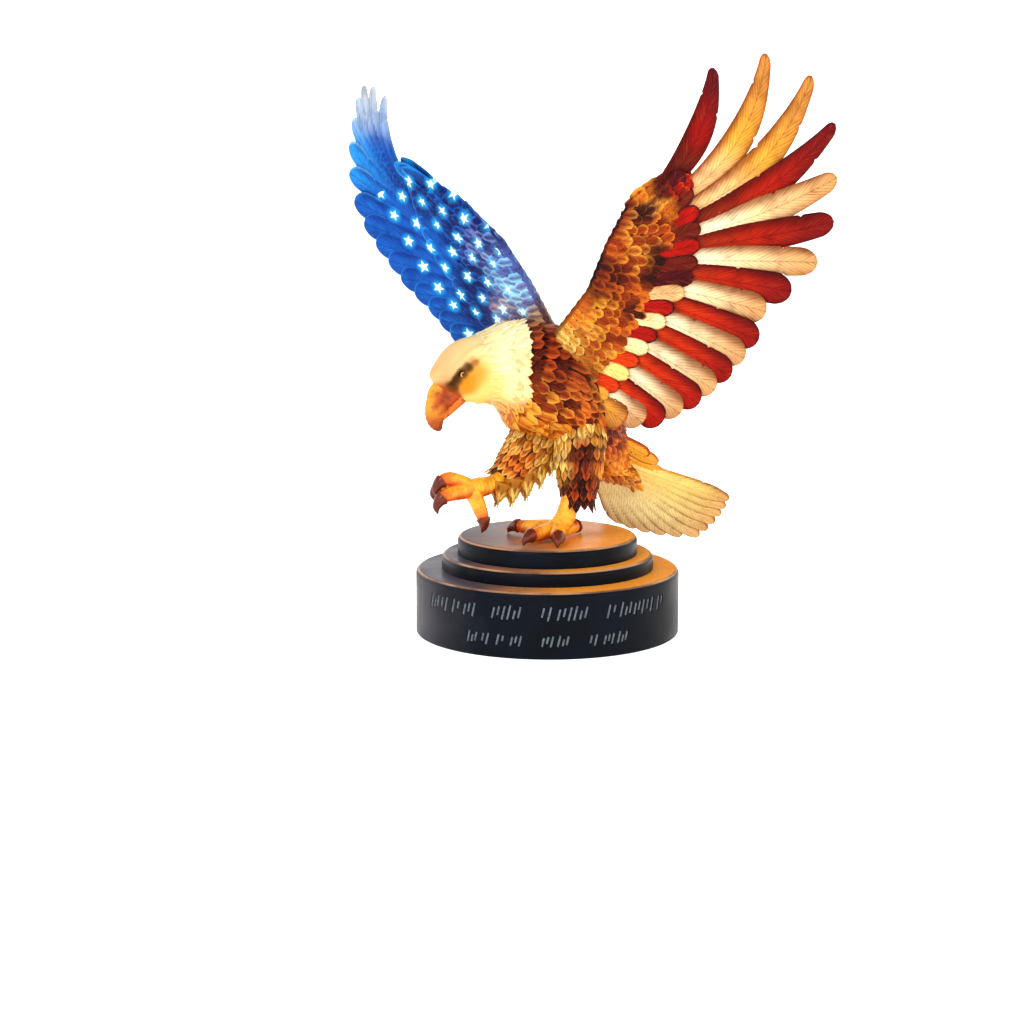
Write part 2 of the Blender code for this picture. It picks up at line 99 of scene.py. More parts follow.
UPPER_BEAK = (
    ((-43.5, -26.0, 125.5), 6.0, 7.0),
    ((-49.4, -27.8, 120.8), 5.3, 7.4),
    ((-52.6, -28.8, 115.7), 4.3, 6.0),
    ((-53.7, -29.3, 110.7), 3.2, 4.8),
    ((-52.8, -29.4, 106.5), 2.1, 3.4),
    ((-51.4, -29.2, 103.8), 0.9, 1.2),
)
LOWER_BEAK = (
    ((-40.5, -25.2, 120.4), 5.0, 3.4),
    ((-45.2, -26.7, 115.6), 4.2, 2.8),
    ((-48.5, -27.8, 111.8), 2.8, 2.0),
    ((-50.1, -28.2, 109.0), 1.1, 0.9),
)
LEFT_THIGH = (
    ((13.5, -3.0, 110.0), 10.0, 10.0),
    ((15.6, -7.0, 100.0), 12.6, 12.2),
    ((15.6, -9.0, 89.0), 12.4, 11.8),
    ((15.2, -10.0, 78.0), 10.8, 10.4),
    ((15.0, -10.5, 68.5), 8.2, 8.2),
)
RIGHT_THIGH = (
    ((3.0, 11.0, 108.0), 10.0, 10.0),
    ((-3.0, 5.5, 98.0), 13.5, 13.5),
    ((-9.0, -0.5, 89.0), 13.2, 13.0),
    ((-15.5, -7.0, 82.0), 11.0, 11.0),
    ((-21.5, -12.5, 77.5), 8.0, 8.0),
)
LEFT_SHANK = (
    ((13.0, -11.0, 80.0), 4.4, 4.4),
    ((11.0, -13.0, 68.0), 4.4, 4.4),
    ((8.5, -14.0, 59.0), 5.0, 5.0),
    ((4.5, -14.4, 53.6), 4.8, 4.8),
)
RIGHT_SHANK = (
    ((-18.0, -9.5, 80.0), 4.2, 4.2),
    ((-26.5, -17.0, 76.0), 4.2, 4.2),
    ((-33.0, -23.0, 75.2), 4.9, 4.9),
    ((-37.5, -27.0, 75.0), 4.4, 4.4),
)
FRINGE = (
    ((0.0, -3.0, 92.0), (1.5, -6.5, 79.5)),
    ((-5.0, -7.0, 85.5), (-3.5, -10.0, 74.0)),
    ((-11.0, -11.0, 80.5), (-10.5, -13.5, 68.5)),
    ((-17.0, -14.5, 77.5), (-17.5, -17.5, 66.5)),
    ((-22.5, -17.5, 75.5), (-24.5, -20.5, 67.5)),
)
FRINGE_RADII = (5.4, 4.6, 2.8, 0.5)
FRINGE_STATIONS, FRINGE_COUNTS = (0.4, 1.1, 1.8), (6, 6, 5)

# Toes run palm, knuckle, last joint, talon root, talon middle, talon tip.
TOE_RADII = (4.0, 3.4, 3.0, 2.3, 1.5, 0.5)
TOE_SIDE = LEFT + (0.0, 0.0, 0.1)
PALM_LEFT = (4.5, -13.5, 53.0)
LEFT_TOES = (
    (
        (-4.5, -7.8, 53.0), (-11.0, -3.6, 52.4), (-15.2, -1.0, 52.6),
        (-18.2, 1.0, 51.0), (-19.6, 2.2, 48.6),
    ),
    (
        (-1.5, -20.5, 53.0), (-5.6, -25.6, 52.4), (-8.4, -29.0, 52.6),
        (-10.6, -31.6, 51.0), (-11.6, -33.0, 48.6),
    ),
    (
        (5.0, -22.0, 53.0), (5.2, -28.8, 52.4), (5.1, -33.2, 52.6),
        (4.9, -36.8, 51.0), (4.8, -38.4, 48.6),
    ),
    (
        (9.5, -7.0, 52.6), (12.4, -2.8, 52.4), (14.2, 0.2, 52.4),
        (15.6, 2.8, 50.8), (16.2, 4.2, 48.6),
    ),
)
PALM_RIGHT = (-36.5, -26.0, 75.0)
RIGHT_TOES = (
    (
        (-42.5, -29.5, 79.0), (-47.6, -32.4, 80.8), (-51.2, -34.4, 79.4),
        (-53.2, -35.6, 76.2), (-52.6, -35.8, 72.4),
    ),
    (
        (-42.0, -32.0, 74.4), (-47.5, -36.5, 73.8), (-50.8, -38.9, 71.8),
        (-52.6, -40.3, 68.6), (-52.2, -40.6, 65.2),
    ),
    (
        (-43.5, -24.0, 76.0), (-49.5, -22.6, 76.4), (-53.0, -21.8, 74.8),
        (-55.0, -21.2, 71.6), (-54.6, -21.0, 68.2),
    ),
    (
        (-34.0, -28.5, 69.5), (-31.8, -30.5, 64.2), (-30.6, -31.4, 60.6),
        (-30.6, -31.2, 57.2), (-31.6, -30.4, 54.4),
    ),
)

# A wing lies in a plan: p runs from the shoulder to the wrist, q from the leading to the trailing edge.
FLIGHT_COUNT = 18
PRIMARY_COUNT = 8
FINGER_FADE = 4.0
BOW_STOPS = (0, 1, 2, 3, 4, 6)
GIRTHS = (0.86, 0.95, 1.0, 1.0, 1.06, 1.0)
TIP_STOPS = (0, 1, 2, 3, 4, 5, 6, 7, 8, 9, 11, 13, 15, 17)
ROOT_STOPS = (0, 1, 3, 7, 12, 17)
ARM_P = (-14, -2, 14, 36, 60, 82, 96, 106)
ARM_THICK = (13.0, 13.0, 11.0, 9.5, 8.5, 7.5, 6.0, 3.5)
WINGS = {
    "left": {
        "origin": (10.0, -14.0, 133.0),
        "span": (0.60, -0.20, 0.77),
        "chord": (0.79, 0.03, -0.61),
        "back": 1.0,
        "bow": (0.11, 0.145, 0.135, 0.09, 0.045, 0.0),
        "tip_p": (154, 173, 177.5, 167.5, 149.5, 133.5, 114.5, 96.5, 81.5, 69, 47, 26.5, 7, -4.5),
        "tip_q": (-35, -19.5, 3.8, 26.2, 42, 53.5, 59.5, 58.8, 55.8, 61.5, 62.5, 59.5, 52, 38),
        "root_p": (88, 84, 76, 60, 28, -6),
        "root_q": (-20, -15, -8, -2, 0, 2),
        "leading": (-9.5, -14.5, -16, -16.5, -23.5, -27.5, -23.5, -18),
        "arm_trailing": (10, 15, 15, 11, 6, 1, -8, -12),
        "covert_trailing": (14, 24, 27, 24, 19, 14, 5, -5),
    },
    "right": {
        "origin": (0.0, 8.0, 135.0),
        "span": (-0.55, -0.02, 0.83),
        "chord": (-0.60, 0.70, -0.38),
        "back": -1.0,
        "bow": (0.21, 0.19, 0.17, 0.15, 0.1, 0.0),
        "tip_p": (149, 156, 159, 156, 149, 140.2, 129, 116, 104, 92.5, 71, 51, 34, 16),
        "tip_q": (-0.5, 4, 10, 18, 27.5, 37.4, 46, 52.3, 54.3, 54.5, 53.2, 49.2, 47, 41),
        "root_p": (88, 84, 76, 60, 28, -6),
        "root_q": (14, 15, 14, 8, 2, 2),
        "leading": (-8, -14, -18.5, -23, -23.5, -13.5, -4.5, 10),
        "arm_trailing": (10, 13, 14, 12, 11, 13, 14, 16),
        "covert_trailing": (14, 24, 28, 30, 30, 30, 28, 24),
    },
}
CAMBER, CAMBER_MIDDLE, CAMBER_REACH = 6.0, 12.0, 45.0
BEND, BEND_START, BEND_REACH = 9.0, 60.0, 115.0

TAIL_ROOT = (27.0, 24.5, 82.0)
TAIL_COUNT = 11
TAIL_HEADING = math.radians(38.0)
TAIL_PITCH = math.radians(36.8)
TAIL_ROLL = math.radians(33.6)
TAIL_HALF_SPREAD = math.radians(26.3)
TAIL_LENGTHS = (54.0, 82.4, 72.5)
TAIL_WIDTH = 11.5
TAIL_WIDTHS = (0.5, 0.75, 0.9, 1.0, 0.92, 0.68, 0.42)
TAIL_BLUNT = 0.955
TAIL_ROOT_SPREAD = 9.0
TAIL_CURL = 3.0
TUFT = (
    ((26.0, 20.0, 84.0), 8.0, 7.0),
    ((33.0, 25.0, 77.5), 8.5, 7.0),
    ((40.0, 31.0, 73.0), 7.0, 5.0),
    ((46.0, 36.5, 70.0), 3.0, 2.4),
)

# The picture's width is 1024 pixels, and the lens puts this many of them in a radian.
PICTURE = 1024
LENS_PIXELS = 2200.0
SENSOR = 36.0
CAMERA_AT = (0.0, -1070.0, 246.0)
CAMERA_AIM = (-17.5, 0.0, 59.2)


def unit(vector):
    """Each vector divided by its length."""
    vector = np.asarray(vector, float)
    return vector / np.maximum(np.linalg.norm(vector, axis=-1, keepdims=True), 1e-12)


def curve(x, stops, values):
    """Hermite's cubic through the values at the stops. A stop's slope is the mean of its chords."""
    stops = np.asarray(stops, float)
    values = np.asarray(values, float)
    slopes = np.gradient(values, stops, axis=0)
    x = np.asarray(x, float)
    k = np.clip(np.searchsorted(stops, x, side="right") - 1, 0, len(stops) - 2)
    gap = stops[k + 1] - stops[k]
    t = np.clip((x - stops[k]) / gap, 0.0, 1.0)
    if values.ndim == 2:
        t, gap = t[..., None], gap[..., None]
    fall = 2 * t**3 - 3 * t**2 + 1
    ease_out, ease_in = t**3 - 2 * t**2 + t, t**3 - t**2
    ends = fall * values[k] + (1 - fall) * values[k + 1]
    return ends + gap * (ease_out * slopes[k] + ease_in * slopes[k + 1])


def turns(count):
    """Angles that share a full turn equally."""
    return np.arange(count) * FULL_TURN / count


def smooth(low, high, x):
    """0 below low, 1 above high, and 3t^2 - 2t^3 between them."""
    t = np.clip((np.asarray(x, float) - low) / (high - low), 0.0, 1.0)
    return t * t * (3 - 2 * t)


def limb_skin(rows, side):
    """Station u, angle v and height h to a point: centre(u) + width(u) cos v across + depth(u) sin v up,
    and h along the ellipse's own normal. Past its ends the limb runs on straight."""
    stations = np.arange(len(rows))
    centres = np.array([row[0] for row in rows], float)
    sizes = np.array([row[1:] for row in rows], float)
    sides = np.broadcast_to(np.asarray(side, float), centres.shape)
    step = 0.02

    def skin(u, v, h=0.0):
        u, v, h = np.broadcast_arrays(u, v, h)
        low = np.clip(u - step, 0, stations[-1] - step)
        high = np.clip(u + step, step, stations[-1])
        pace = (curve(high, stations, centres) - curve(low, stations, centres)) / (high - low)[..., None]
        beyond = (u - np.clip(u, 0, stations[-1]))[..., None]
        centre = curve(u, stations, centres) + beyond * pace
        along = unit(pace)
        across = curve(u, stations, sides)
        across = unit(across - along * (along * across).sum(-1, keepdims=True))
        upward = np.cross(along, across)
        size = np.maximum(curve(u, stations, sizes), 0.05)
        cos, sin = np.cos(v)[..., None], np.sin(v)[..., None]
        width, depth = size[..., :1], size[..., 1:]
        normal = unit(cos * depth * across + sin * width * upward)
        return centre + width * cos * across + depth * sin * upward + h[..., None] * normal

    return skin


def trunk_sides():
    """The width direction of each trunk row, which turns from the body's to the head's."""
    turn = np.linspace(0.0, 1.0, len(TRUNK))[:, None]
    return LEFT * (1 - turn) + HEAD_SIDE * turn


def wing_frame(wing):
    """The plan's span, chord and back directions in the row frame."""
    span = unit(wing["span"])
    chord = np.asarray(wing["chord"], float)
    chord = unit(chord - span * np.dot(chord, span))
    return span, chord, np.cross(span, chord) * wing["back"]


def wing_skin(wing):
    """A plan point (p, q) and its height towards the wing's back, on the cambered and bent wing."""
    span, chord, back = wing_frame(wing)

    def skin(p, q, h=0.0):
        p, q, h = np.broadcast_arrays(p, q, h)
        camber = -CAMBER * ((q - CAMBER_MIDDLE) / CAMBER_REACH) ** 2
        bend = BEND * (np.maximum(p - BEND_START, 0.0) / BEND_REACH) ** 2
        rise = (h + camber + bend)[..., None]
        return np.asarray(wing["origin"]) + span * p[..., None] + chord * q[..., None] + back * rise

    return skin


def tail_skin():
    """x along the fan's middle line, y towards its near edge and h towards its back, curled by x squared."""
    flat = np.array((math.cos(TAIL_HEADING), math.sin(TAIL_HEADING), 0.0))
    level = np.array((math.sin(TAIL_HEADING), -math.cos(TAIL_HEADING), 0.0))
    middle = flat * math.cos(TAIL_PITCH) - np.array((0, 0, math.sin(TAIL_PITCH)))
    lift = np.cross(level, middle)
    across = level * math.cos(TAIL_ROLL) + lift * math.sin(TAIL_ROLL)
    back = np.cross(across, middle)

    def skin(x, y, h=0.0):
        x, y, h = np.broadcast_arrays(x, y, h)
        rise = (h + TAIL_CURL * (x / TAIL_LENGTHS[1]) ** 2)[..., None]
        return np.asarray(TAIL_ROOT) + middle * x[..., None] + across * y[..., None] + back * rise

    return skin


def wall_skin(radius):
    """x as arc length round the plinth from its front, z as height, h outwards from the wall."""

    def skin(x, z, h=0.0):
        x, z, h = np.broadcast_arrays(x, z, h)
        turn = x / radius
        out = radius + h
        return np.stack((out * np.sin(turn), -out * np.cos(turn), z), axis=-1)

    return skin


# What a mark still weighs far outside its reach.
FAR_WEIGHT = 1e-6


def pot(words):
    """The sum of the bird's paints in words such as "navy 0.5 blue 0.5", each times the share after it."""
    group = bpy.context.scene.eagle_paints
    parts = re.findall(r"([a-z_]+)(?: ([\d.]+))?", words)
    return sum(np.array(getattr(group, name)) * float(share or 1.0) for name, share in parts)


def airbrush(marks):
    """Paint functions for the fill and the rim, from marks. A mark is a centre in space or on a wing's plan,
    a reach, and the words of two paints. A place takes the marks' mean, each weighted by
    exp(-(distance / reach)^2) / reach^2, so that a small mark wins at its own centre."""
    centres = np.array([mark[:-3] for mark in marks], float)
    reach = np.array([mark[-3] for mark in marks], float)
    in_space = centres.shape[1] == 3

    def paint(colours):
        def at(u, v, s, grid):
            places = grid if in_space else np.stack((u, v), -1)
            distance = np.linalg.norm(places[..., None, :] - centres, axis=-1)
            weight = (np.exp(-((distance / reach) ** 2)) + FAR_WEIGHT) / reach**2
            return ((weight / weight.sum(-1, keepdims=True))[..., None] * colours).sum(-2)

        return at

    fills, rims = (np.array([pot(mark[k]) for mark in marks]) for k in (-2, -1))
    return paint(fills), paint(rims)


def dimmed(paint, share):
    """The paint function with its colours times a share."""
    return lambda *place: share * paint(*place)


def between(one, other, share):
    """one x (1 - share) + other x share, for two paints and a share at each point."""
    share = np.asarray(share)[..., None]
    return one * (1 - share) + other * share


def tube_faces(rows, columns):
    """The quads between the rings of a tube, as numbers of its points counted ring by ring."""
    r, c = np.meshgrid(np.arange(rows - 1), np.arange(columns), indexing="ij")
    n = (c + 1) % columns
    quads = np.stack((r * columns + c, r * columns + n, (r + 1) * columns + n, (r + 1) * columns + c), -1)
    return quads.reshape(-1, 4)


class Coat:
    """Closed shells gathered into one mesh, with the numbers that its paint reads at each point.

    paint and rim are colours, and edge is 1 at a feather's rim and 0 from RIM_REACH inwards. vane is the
    distance across and along a feather and the share of its length, and plan is the place on the skin that
    the shell lies on, with a number that differs from feather to feather.
    """

    # Each fact's count of numbers, and the kind and field of the mesh attribute that holds it.
    FACTS = {
        "paint": (3, "FLOAT_COLOR", "color"),
        "rim": (3, "FLOAT_COLOR", "color"),
        "vane": (3, "FLOAT_VECTOR", "vector"),
        "plan": (3, "FLOAT_VECTOR", "vector"),
        "edge": (1, "FLOAT", "value"),
    }

    def __init__(self):
        self.points, self.quads, self.caps = [], [], []
        self.facts = {name: [] for name in self.FACTS}
        self.count = 0

    def add(self, grid, poles, **facts):
        """grid holds shells x rows x columns of points, and poles each shell's two end points. A shell that
        comes out inside out is turned."""
        shells, rows, columns = grid.shape[:3]
        own = np.concatenate((poles, grid.reshape(shells, -1, 3)), axis=1)
        quads = tube_faces(rows, columns) + 2
        c = np.arange(columns)
        n = (c + 1) % columns
        top = 2 + (rows - 1) * columns
        start, end = np.stack((0 * c, 2 + n, 2 + c), -1), np.stack((0 * c + 1, top + c, top + n), -1)
        caps = np.concatenate((start, end))
        halves = np.concatenate((quads[:, :3], quads[:, (0, 2, 3)], caps))
        corners = own[:, halves] - own[:, None, None, 0]
        volume = np.einsum("nfi,nfi->n", corners[:, :, 0], np.cross(corners[:, :, 1], corners[:, :, 2]))
        turned = (volume < 0)[:, None, None]
        first = self.count + np.arange(shells)[:, None, None] * own.shape[1]
        for faces, gathered in ((quads, self.quads), (caps, self.caps)):
            wound = np.where(turned, faces[None, :, ::-1], faces[None])
            gathered.append((first + wound).reshape(-1, faces.shape[1]))
        self.points.append(own.reshape(-1, 3))
        for name, (size, _, _) in self.FACTS.items():
            values = np.asarray(facts.get(name, 0.0), float)
            values = np.broadcast_to(values if values.ndim else values[None], (shells, rows, columns, size))
            values = np.concatenate((values[:, (0, -1), 0], values.reshape(shells, -1, size)), axis=1)
            self.facts[name].append(values.reshape(-1, size))
        self.count += own.shape[0] * own.shape[1]

    def piece(self, name, finish, slot, *nodes, crease=40.0):
        """Makes the gathered shells one object that rides on the statue and stands for the nodes."""
        points = np.concatenate(self.points) * MM
        quads, caps = np.concatenate(self.quads), np.concatenate(self.caps)
        mesh = bpy.data.meshes.new(name)
        mesh.vertices.add(len(points))
        mesh.vertices.foreach_set("co", points.ravel())
        mesh.loops.add(quads.size + caps.size)
        mesh.loops.foreach_set("vertex_index", np.concatenate((quads.ravel(), caps.ravel())))
        mesh.polygons.add(len(quads) + len(caps))
        starts = np.concatenate((np.arange(len(quads)) * 4, quads.size + np.arange(len(caps)) * 3))
        mesh.polygons.foreach_set("loop_start", starts)
        mesh.update(calc_edges=True)
        for fact, (_, kind, field) in self.FACTS.items():
            values = np.concatenate(self.facts[fact])
            if kind == "FLOAT_COLOR":
                values = np.pad(values, ((0, 0), (0, 1)), constant_values=1.0)
            mesh.attributes.new(fact, kind, "POINT").data.foreach_set(field, values.ravel())
        mesh.shade_smooth()
        mesh.set_sharp_from_angle(angle=math.radians(crease))
        mesh.materials.append(finish)
        made = bpy.data.objects.new(name, mesh)
        bpy.context.scene.collection.objects.link(made)
        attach(made, "root")
        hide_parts(*nodes)


# How far a limb's closed ends bulge past its last rings, as a share of their radius.
END_BULGE = 0.4


def limb(coat, rows, side, long_steps, round_steps, relief=None, ends=None, **facts):
    """A limb's skin as one closed shell between two stations. relief gives a height from (u, v)."""
    skin = limb_skin(rows, side)
    first, last = ends or (0.0, len(rows) - 1)
    u = np.linspace(first, last, long_steps)[:, None]
    u, v = np.broadcast_arrays(u, turns(round_steps)[None])
    grid = skin(u, v, relief(u, v) if relief else 0.0)
    middle = grid.mean(1)
    reach = np.linalg.norm(grid - middle[:, None], axis=-1).mean(1)
    start = middle[0] - unit(middle[1] - middle[0]) * reach[0] * END_BULGE
    end = middle[-1] + unit(middle[-1] - middle[-2]) * reach[-1] * END_BULGE
    facts = {name: fact(u, v, None, grid)[None] if callable(fact) else fact for name, fact in facts.items()}
    facts["plan"] = np.stack((u, v, 0 * u + 0.5), -1)[None]
    coat.add(grid[None], np.stack((start, end))[None], **facts)
    return skin


# How a feather is cut: rows along it, points across a face, outline stops and shares of the width, where its
# round end begins, thickness, quill height, root's and tip's height over the skin, and barb pitch and depth.
Cut = namedtuple("Cut", "rows across stops shares blunt thick quill sink lift pitch depth")
ACROSS_FEW = (1.0, 0.6, 0.0, -0.6, -1.0)
ACROSS_MANY = (1.0, 0.93, 0.78, 0.56, 0.33, 0.13, 0.0, -0.13, -0.33, -0.56, -0.78, -0.93, -1.0)
ROUND_STOPS, ROUND_SHARES = (0.0, 0.25, 0.55, 0.8, 0.93, 1.0), (0.55, 0.85, 1.0, 0.84, 0.5, 0.0)
LANCE_STOPS, LANCE_SHARES = (0.0, 0.25, 0.5, 0.75, 0.9, 1.0), (0.6, 0.95, 1.0, 0.68, 0.32, 0.0)
SCALE = Cut(6, ACROSS_FEW, ROUND_STOPS, ROUND_SHARES, 1.0, 1.2, 0.3, -0.5, 1.2, 0.0, 0.0)
HACKLE = Cut(6, ACROSS_FEW, LANCE_STOPS, LANCE_SHARES, 1.0, 0.8, 0.25, -0.4, 0.6, 0.0, 0.0)
COVERT = Cut(8, ACROSS_FEW, ROUND_STOPS, ROUND_SHARES, 1.0, 1.2, 0.3, -0.4, 1.0, 0.0, 0.0)
WIDTH_STOPS = (0.0, 0.3, 0.5, 0.75, 0.85, 0.93, 1.0)
FINGER_WIDTHS = np.array((7.0, 13.6, 15.2, 12.2, 9.6, 7.4, 5.8))
ROUND_WIDTHS = np.array((7.0, 11.5, 13.4, 14.8, 15.3, 15.2, 14.8))
FINGER_BLUNT, ROUND_BLUNT = 0.955, 0.88
FLIGHT_THICK = 3.0
FLIGHT_TILT = math.radians(8.0)
# A quill starts this share of the length behind the root, and its ridge is this share of the half width wide.
QUILL_OVERRUN, QUILL_HALF = 0.04, 0.15
# A feather loses these shares of its thickness and of its quill's height by the tip.
THINNING, QUILL_FADE = 0.35, 0.7
# The last row's share of the length, and how much the rows crowd towards the tip.
LAST_ROW, CROWDING = 0.985, 1.15
# Feathers of fewer rows have straight lines between the outline's stops, and the others a curve.
CURVED_ROWS = 10
# The narrowest that an outline gets, the rim's width, the barbs' slant as length gained across the vane, the
# step that measures the skin's scale, and a factor that sets the feathers' random draws apart.
LEAST_SHARE = 0.02
RIM_REACH = 2.4
BARB_SLANT = 2.0
PROBE = 0.05
SEED_SPREAD = 997


def ring(across):
    """The way round a feather's section: the share of the half width, and the face, +1 over and -1 under."""
    over = np.asarray(across)
    share = np.concatenate((over, over[-2:0:-1]))
    face = np.sqrt(1 - share**2)
    face[len(over) :] *= -1
    return share, face


def painted(paint, u, v, s, grid):
    """A paint function's colours at the points, or one plain colour for each feather."""
    return paint(u, v, s, grid) if callable(paint) else np.asarray(paint, float).reshape(-1, 1, 1, 3)


def lay(
    coat, skin, u, v, heading, length, width, cut, fill, rim,
    bow=0.0, tilt=0.0, face=1.0, notches=None, mood=1.0,
):
    """Feathers on a skin. Row s of a quill lies s times the length ahead, and section share t lies t times
    half the width, times outline(s), to the side. The height runs from the sink to the lift with s squared,
    plus the thickness times the lens sqrt(1 - t^2), plus a quill ridge exp(-(t / QUILL_HALF)^2), less the
    barbs' slanting grooves. The round end narrows as sqrt(1 - x^2). face -1 lays them on the other side of a
    wing, and mood says how much they differ in paint. The skin's own scale is measured at each root by a
    small step in u and in v."""
    values = np.broadcast_arrays(u, v, heading, length, width, bow)
    u, v, heading, length, width, bow = (np.asarray(x, float).reshape(-1, 1, 1) for x in values)
    share, side = ring(cut.across)
    t, over = share[None, None], side[None, None]
    s = (1 - (1 - np.linspace(0.0, LAST_ROW, cut.rows)) ** CROWDING)[None, :, None]
    if cut.rows < CURVED_ROWS:
        outline = np.interp(s, cut.stops, cut.shares)
    else:
        outline = np.maximum(curve(s, cut.stops, cut.shares), LEAST_SHARE)
    ending = np.maximum(s - cut.blunt, 0.0) / max(1 - cut.blunt, 1e-6)
    half = 0.5 * width * outline * np.sqrt(np.clip(1 - ending**2, 0.0, 1.0))
    if notches is not None:
        half = half * notches(s, t)
    ahead = length * s + 0 * t
    aside = half * t
    body = 0.5 * cut.thick * (1 - THINNING * s) * over
    ridge = cut.quill * np.exp(-((t / QUILL_HALF) ** 2)) * (1 - QUILL_FADE * s) * np.sign(over)
    rise = cut.sink + (cut.lift - cut.sink) * s**2 + body + ridge + np.tan(tilt) * aside
    if cut.pitch:
        phase = (ahead - BARB_SLANT * np.abs(aside)) / cut.pitch
        groove = np.abs(np.sin(math.pi * phase)) ** 0.6 - 1
        rise = rise + cut.depth * groove * over * smooth(0.0, QUILL_HALF, np.abs(t))
    drift = aside + bow * length * 4 * s * (1 - s)
    u_scale = np.linalg.norm(skin(u + PROBE, v) - skin(u - PROBE, v), axis=-1) / (2 * PROBE)
    v_scale = np.linalg.norm(skin(u, v + PROBE) - skin(u, v - PROBE), axis=-1) / (2 * PROBE)
    cos, sin = np.cos(heading), np.sin(heading)
    at_u = u + (ahead * cos - drift * sin) / u_scale
    at_v = v + (ahead * sin + drift * cos) / v_scale
    grid = skin(at_u, at_v, face * rise)
    tip_u, tip_v = u + length * cos / u_scale, v + length * sin / v_scale
    back_u, back_v = u - QUILL_OVERRUN * length * cos / u_scale, v - QUILL_OVERRUN * length * sin / v_scale
    root = skin(back_u, back_v, face * cut.sink + 0 * back_u)[:, 0, 0]
    poles = np.stack((root, skin(tip_u, tip_v, face * cut.lift + 0 * tip_u)[:, 0, 0]), axis=1)
    inwards = np.minimum(half * (1 - np.abs(t)), length * (1 - s))
    edge = np.clip(1 - inwards / RIM_REACH, 0.0, 1.0)
    draw = np.random.default_rng(SEED + len(u) + int(abs(v[0, 0, 0]) * SEED_SPREAD))
    seeds = 0.5 + mood * (draw.random(len(u)).reshape(-1, 1, 1) - 0.5) + 0 * ahead
    s = s + 0 * ahead
    coat.add(
        grid, poles, paint=painted(fill, at_u, at_v, s, grid), rim=painted(rim, at_u, at_v, s, grid),
        vane=np.stack((aside, ahead, s), -1), plan=np.stack((at_u, at_v, seeds), -1), edge=edge[..., None],
    )


# The dark tone multiplied into the paint: for the streaks, blotches and quill lines, and for the painted
# shade at feather roots and along overlapped edges.
SHADE = (0.24, 0.07, 0.03)
COAT_ROUGH = 0.1
SATIN = 0.07


class Graph:
    """A material's nodes, added one at a time by what they do."""

    def __init__(self, name):
        self.material = bpy.data.materials.new(name)
        self.material.use_nodes = True
        self.tree = self.material.node_tree
        self.shader = self.tree.nodes["Principled BSDF"]

    def put(self, value, socket):
        """Links an output into a socket, or sets the socket's own value."""
        if isinstance(value, bpy.types.NodeSocket):
            self.tree.links.new(value, socket)
        else:
            socket.default_value = value

    def node(self, kind, *values, **settings):
        """A new node with its settings, and the values or outputs for its first inputs."""
        made = self.tree.nodes.new(kind)
        for name, value in settings.items():
            setattr(made, name, value)
        for value, socket in zip(values, made.inputs):
            self.put(value, socket)
        return made

    def math(self, operation, *values):
        return self.node("ShaderNodeMath", *values, operation=operation).outputs[0]

    def plus(self, one, other):
        return self.math("ADD", one, other)

    def minus(self, one, other):
        return self.math("SUBTRACT", one, other)

    def times(self, one, other):
        return self.math("MULTIPLY", one, other)

    def fact(self, name, output="Vector"):
        """What the mesh says at this point, under that name."""
        return self.node("ShaderNodeAttribute", attribute_name=name).outputs[output]

    def step(self, value, low, high, to_low=0.0, to_high=1.0):
        """A smooth rise from one number to another while value goes from low to high."""
        ends = (low, high, to_low, to_high)
        return self.node("ShaderNodeMapRange", value, *ends, interpolation_type="SMOOTHSTEP").outputs[0]

    def mix(self, share, first, second, blend="MIX"):
        made = self.tree.nodes.new("ShaderNodeMix")
        made.data_type = "RGBA"
        made.blend_type = blend
        for value, place in ((share, 0), (first, 6), (second, 7)):
            self.put((*value, 1.0) if isinstance(value, tuple) else value, made.inputs[place])
        return made.outputs[2]

    def noise(self, scale, detail=2.0, where=None):
        """Noise from 0 to 1 on object coordinates, with scale in waves per metre."""
        place = where or self.node("ShaderNodeTexCoord").outputs["Object"]
        made = self.node("ShaderNodeTexNoise")
        self.put(place, made.inputs["Vector"])
        made.inputs["Scale"].default_value = scale
        made.inputs["Detail"].default_value = detail
        return made.outputs["Fac"]

    def darken(self, colour, tone, *rise):
        """The colour multiplied by the tone, as far as the rise says."""
        return self.mix(self.step(*rise), colour, tone, "MULTIPLY")

    def finish(self, colour, rough, coat=0.0, bump=None, bump_mm=0.1, specular=0.5):
        """The material, from its colour, roughness, gloss coat and the height of its bumps."""
        self.put(colour, self.shader.inputs["Base Color"])
        self.put(rough, self.shader.inputs["Roughness"])
        self.shader.inputs["Coat Weight"].default_value = coat
        self.shader.inputs["Coat Roughness"].default_value = COAT_ROUGH
        self.shader.inputs["Specular IOR Level"].default_value = specular
        if bump is not None:
            made = self.node("ShaderNodeBump")
            made.inputs["Strength"].default_value = 1.0
            made.inputs["Distance"].default_value = bump_mm * MM
            self.put(bump, made.inputs["Height"])
            self.put(made.outputs["Normal"], self.shader.inputs["Normal"])
        return self.material


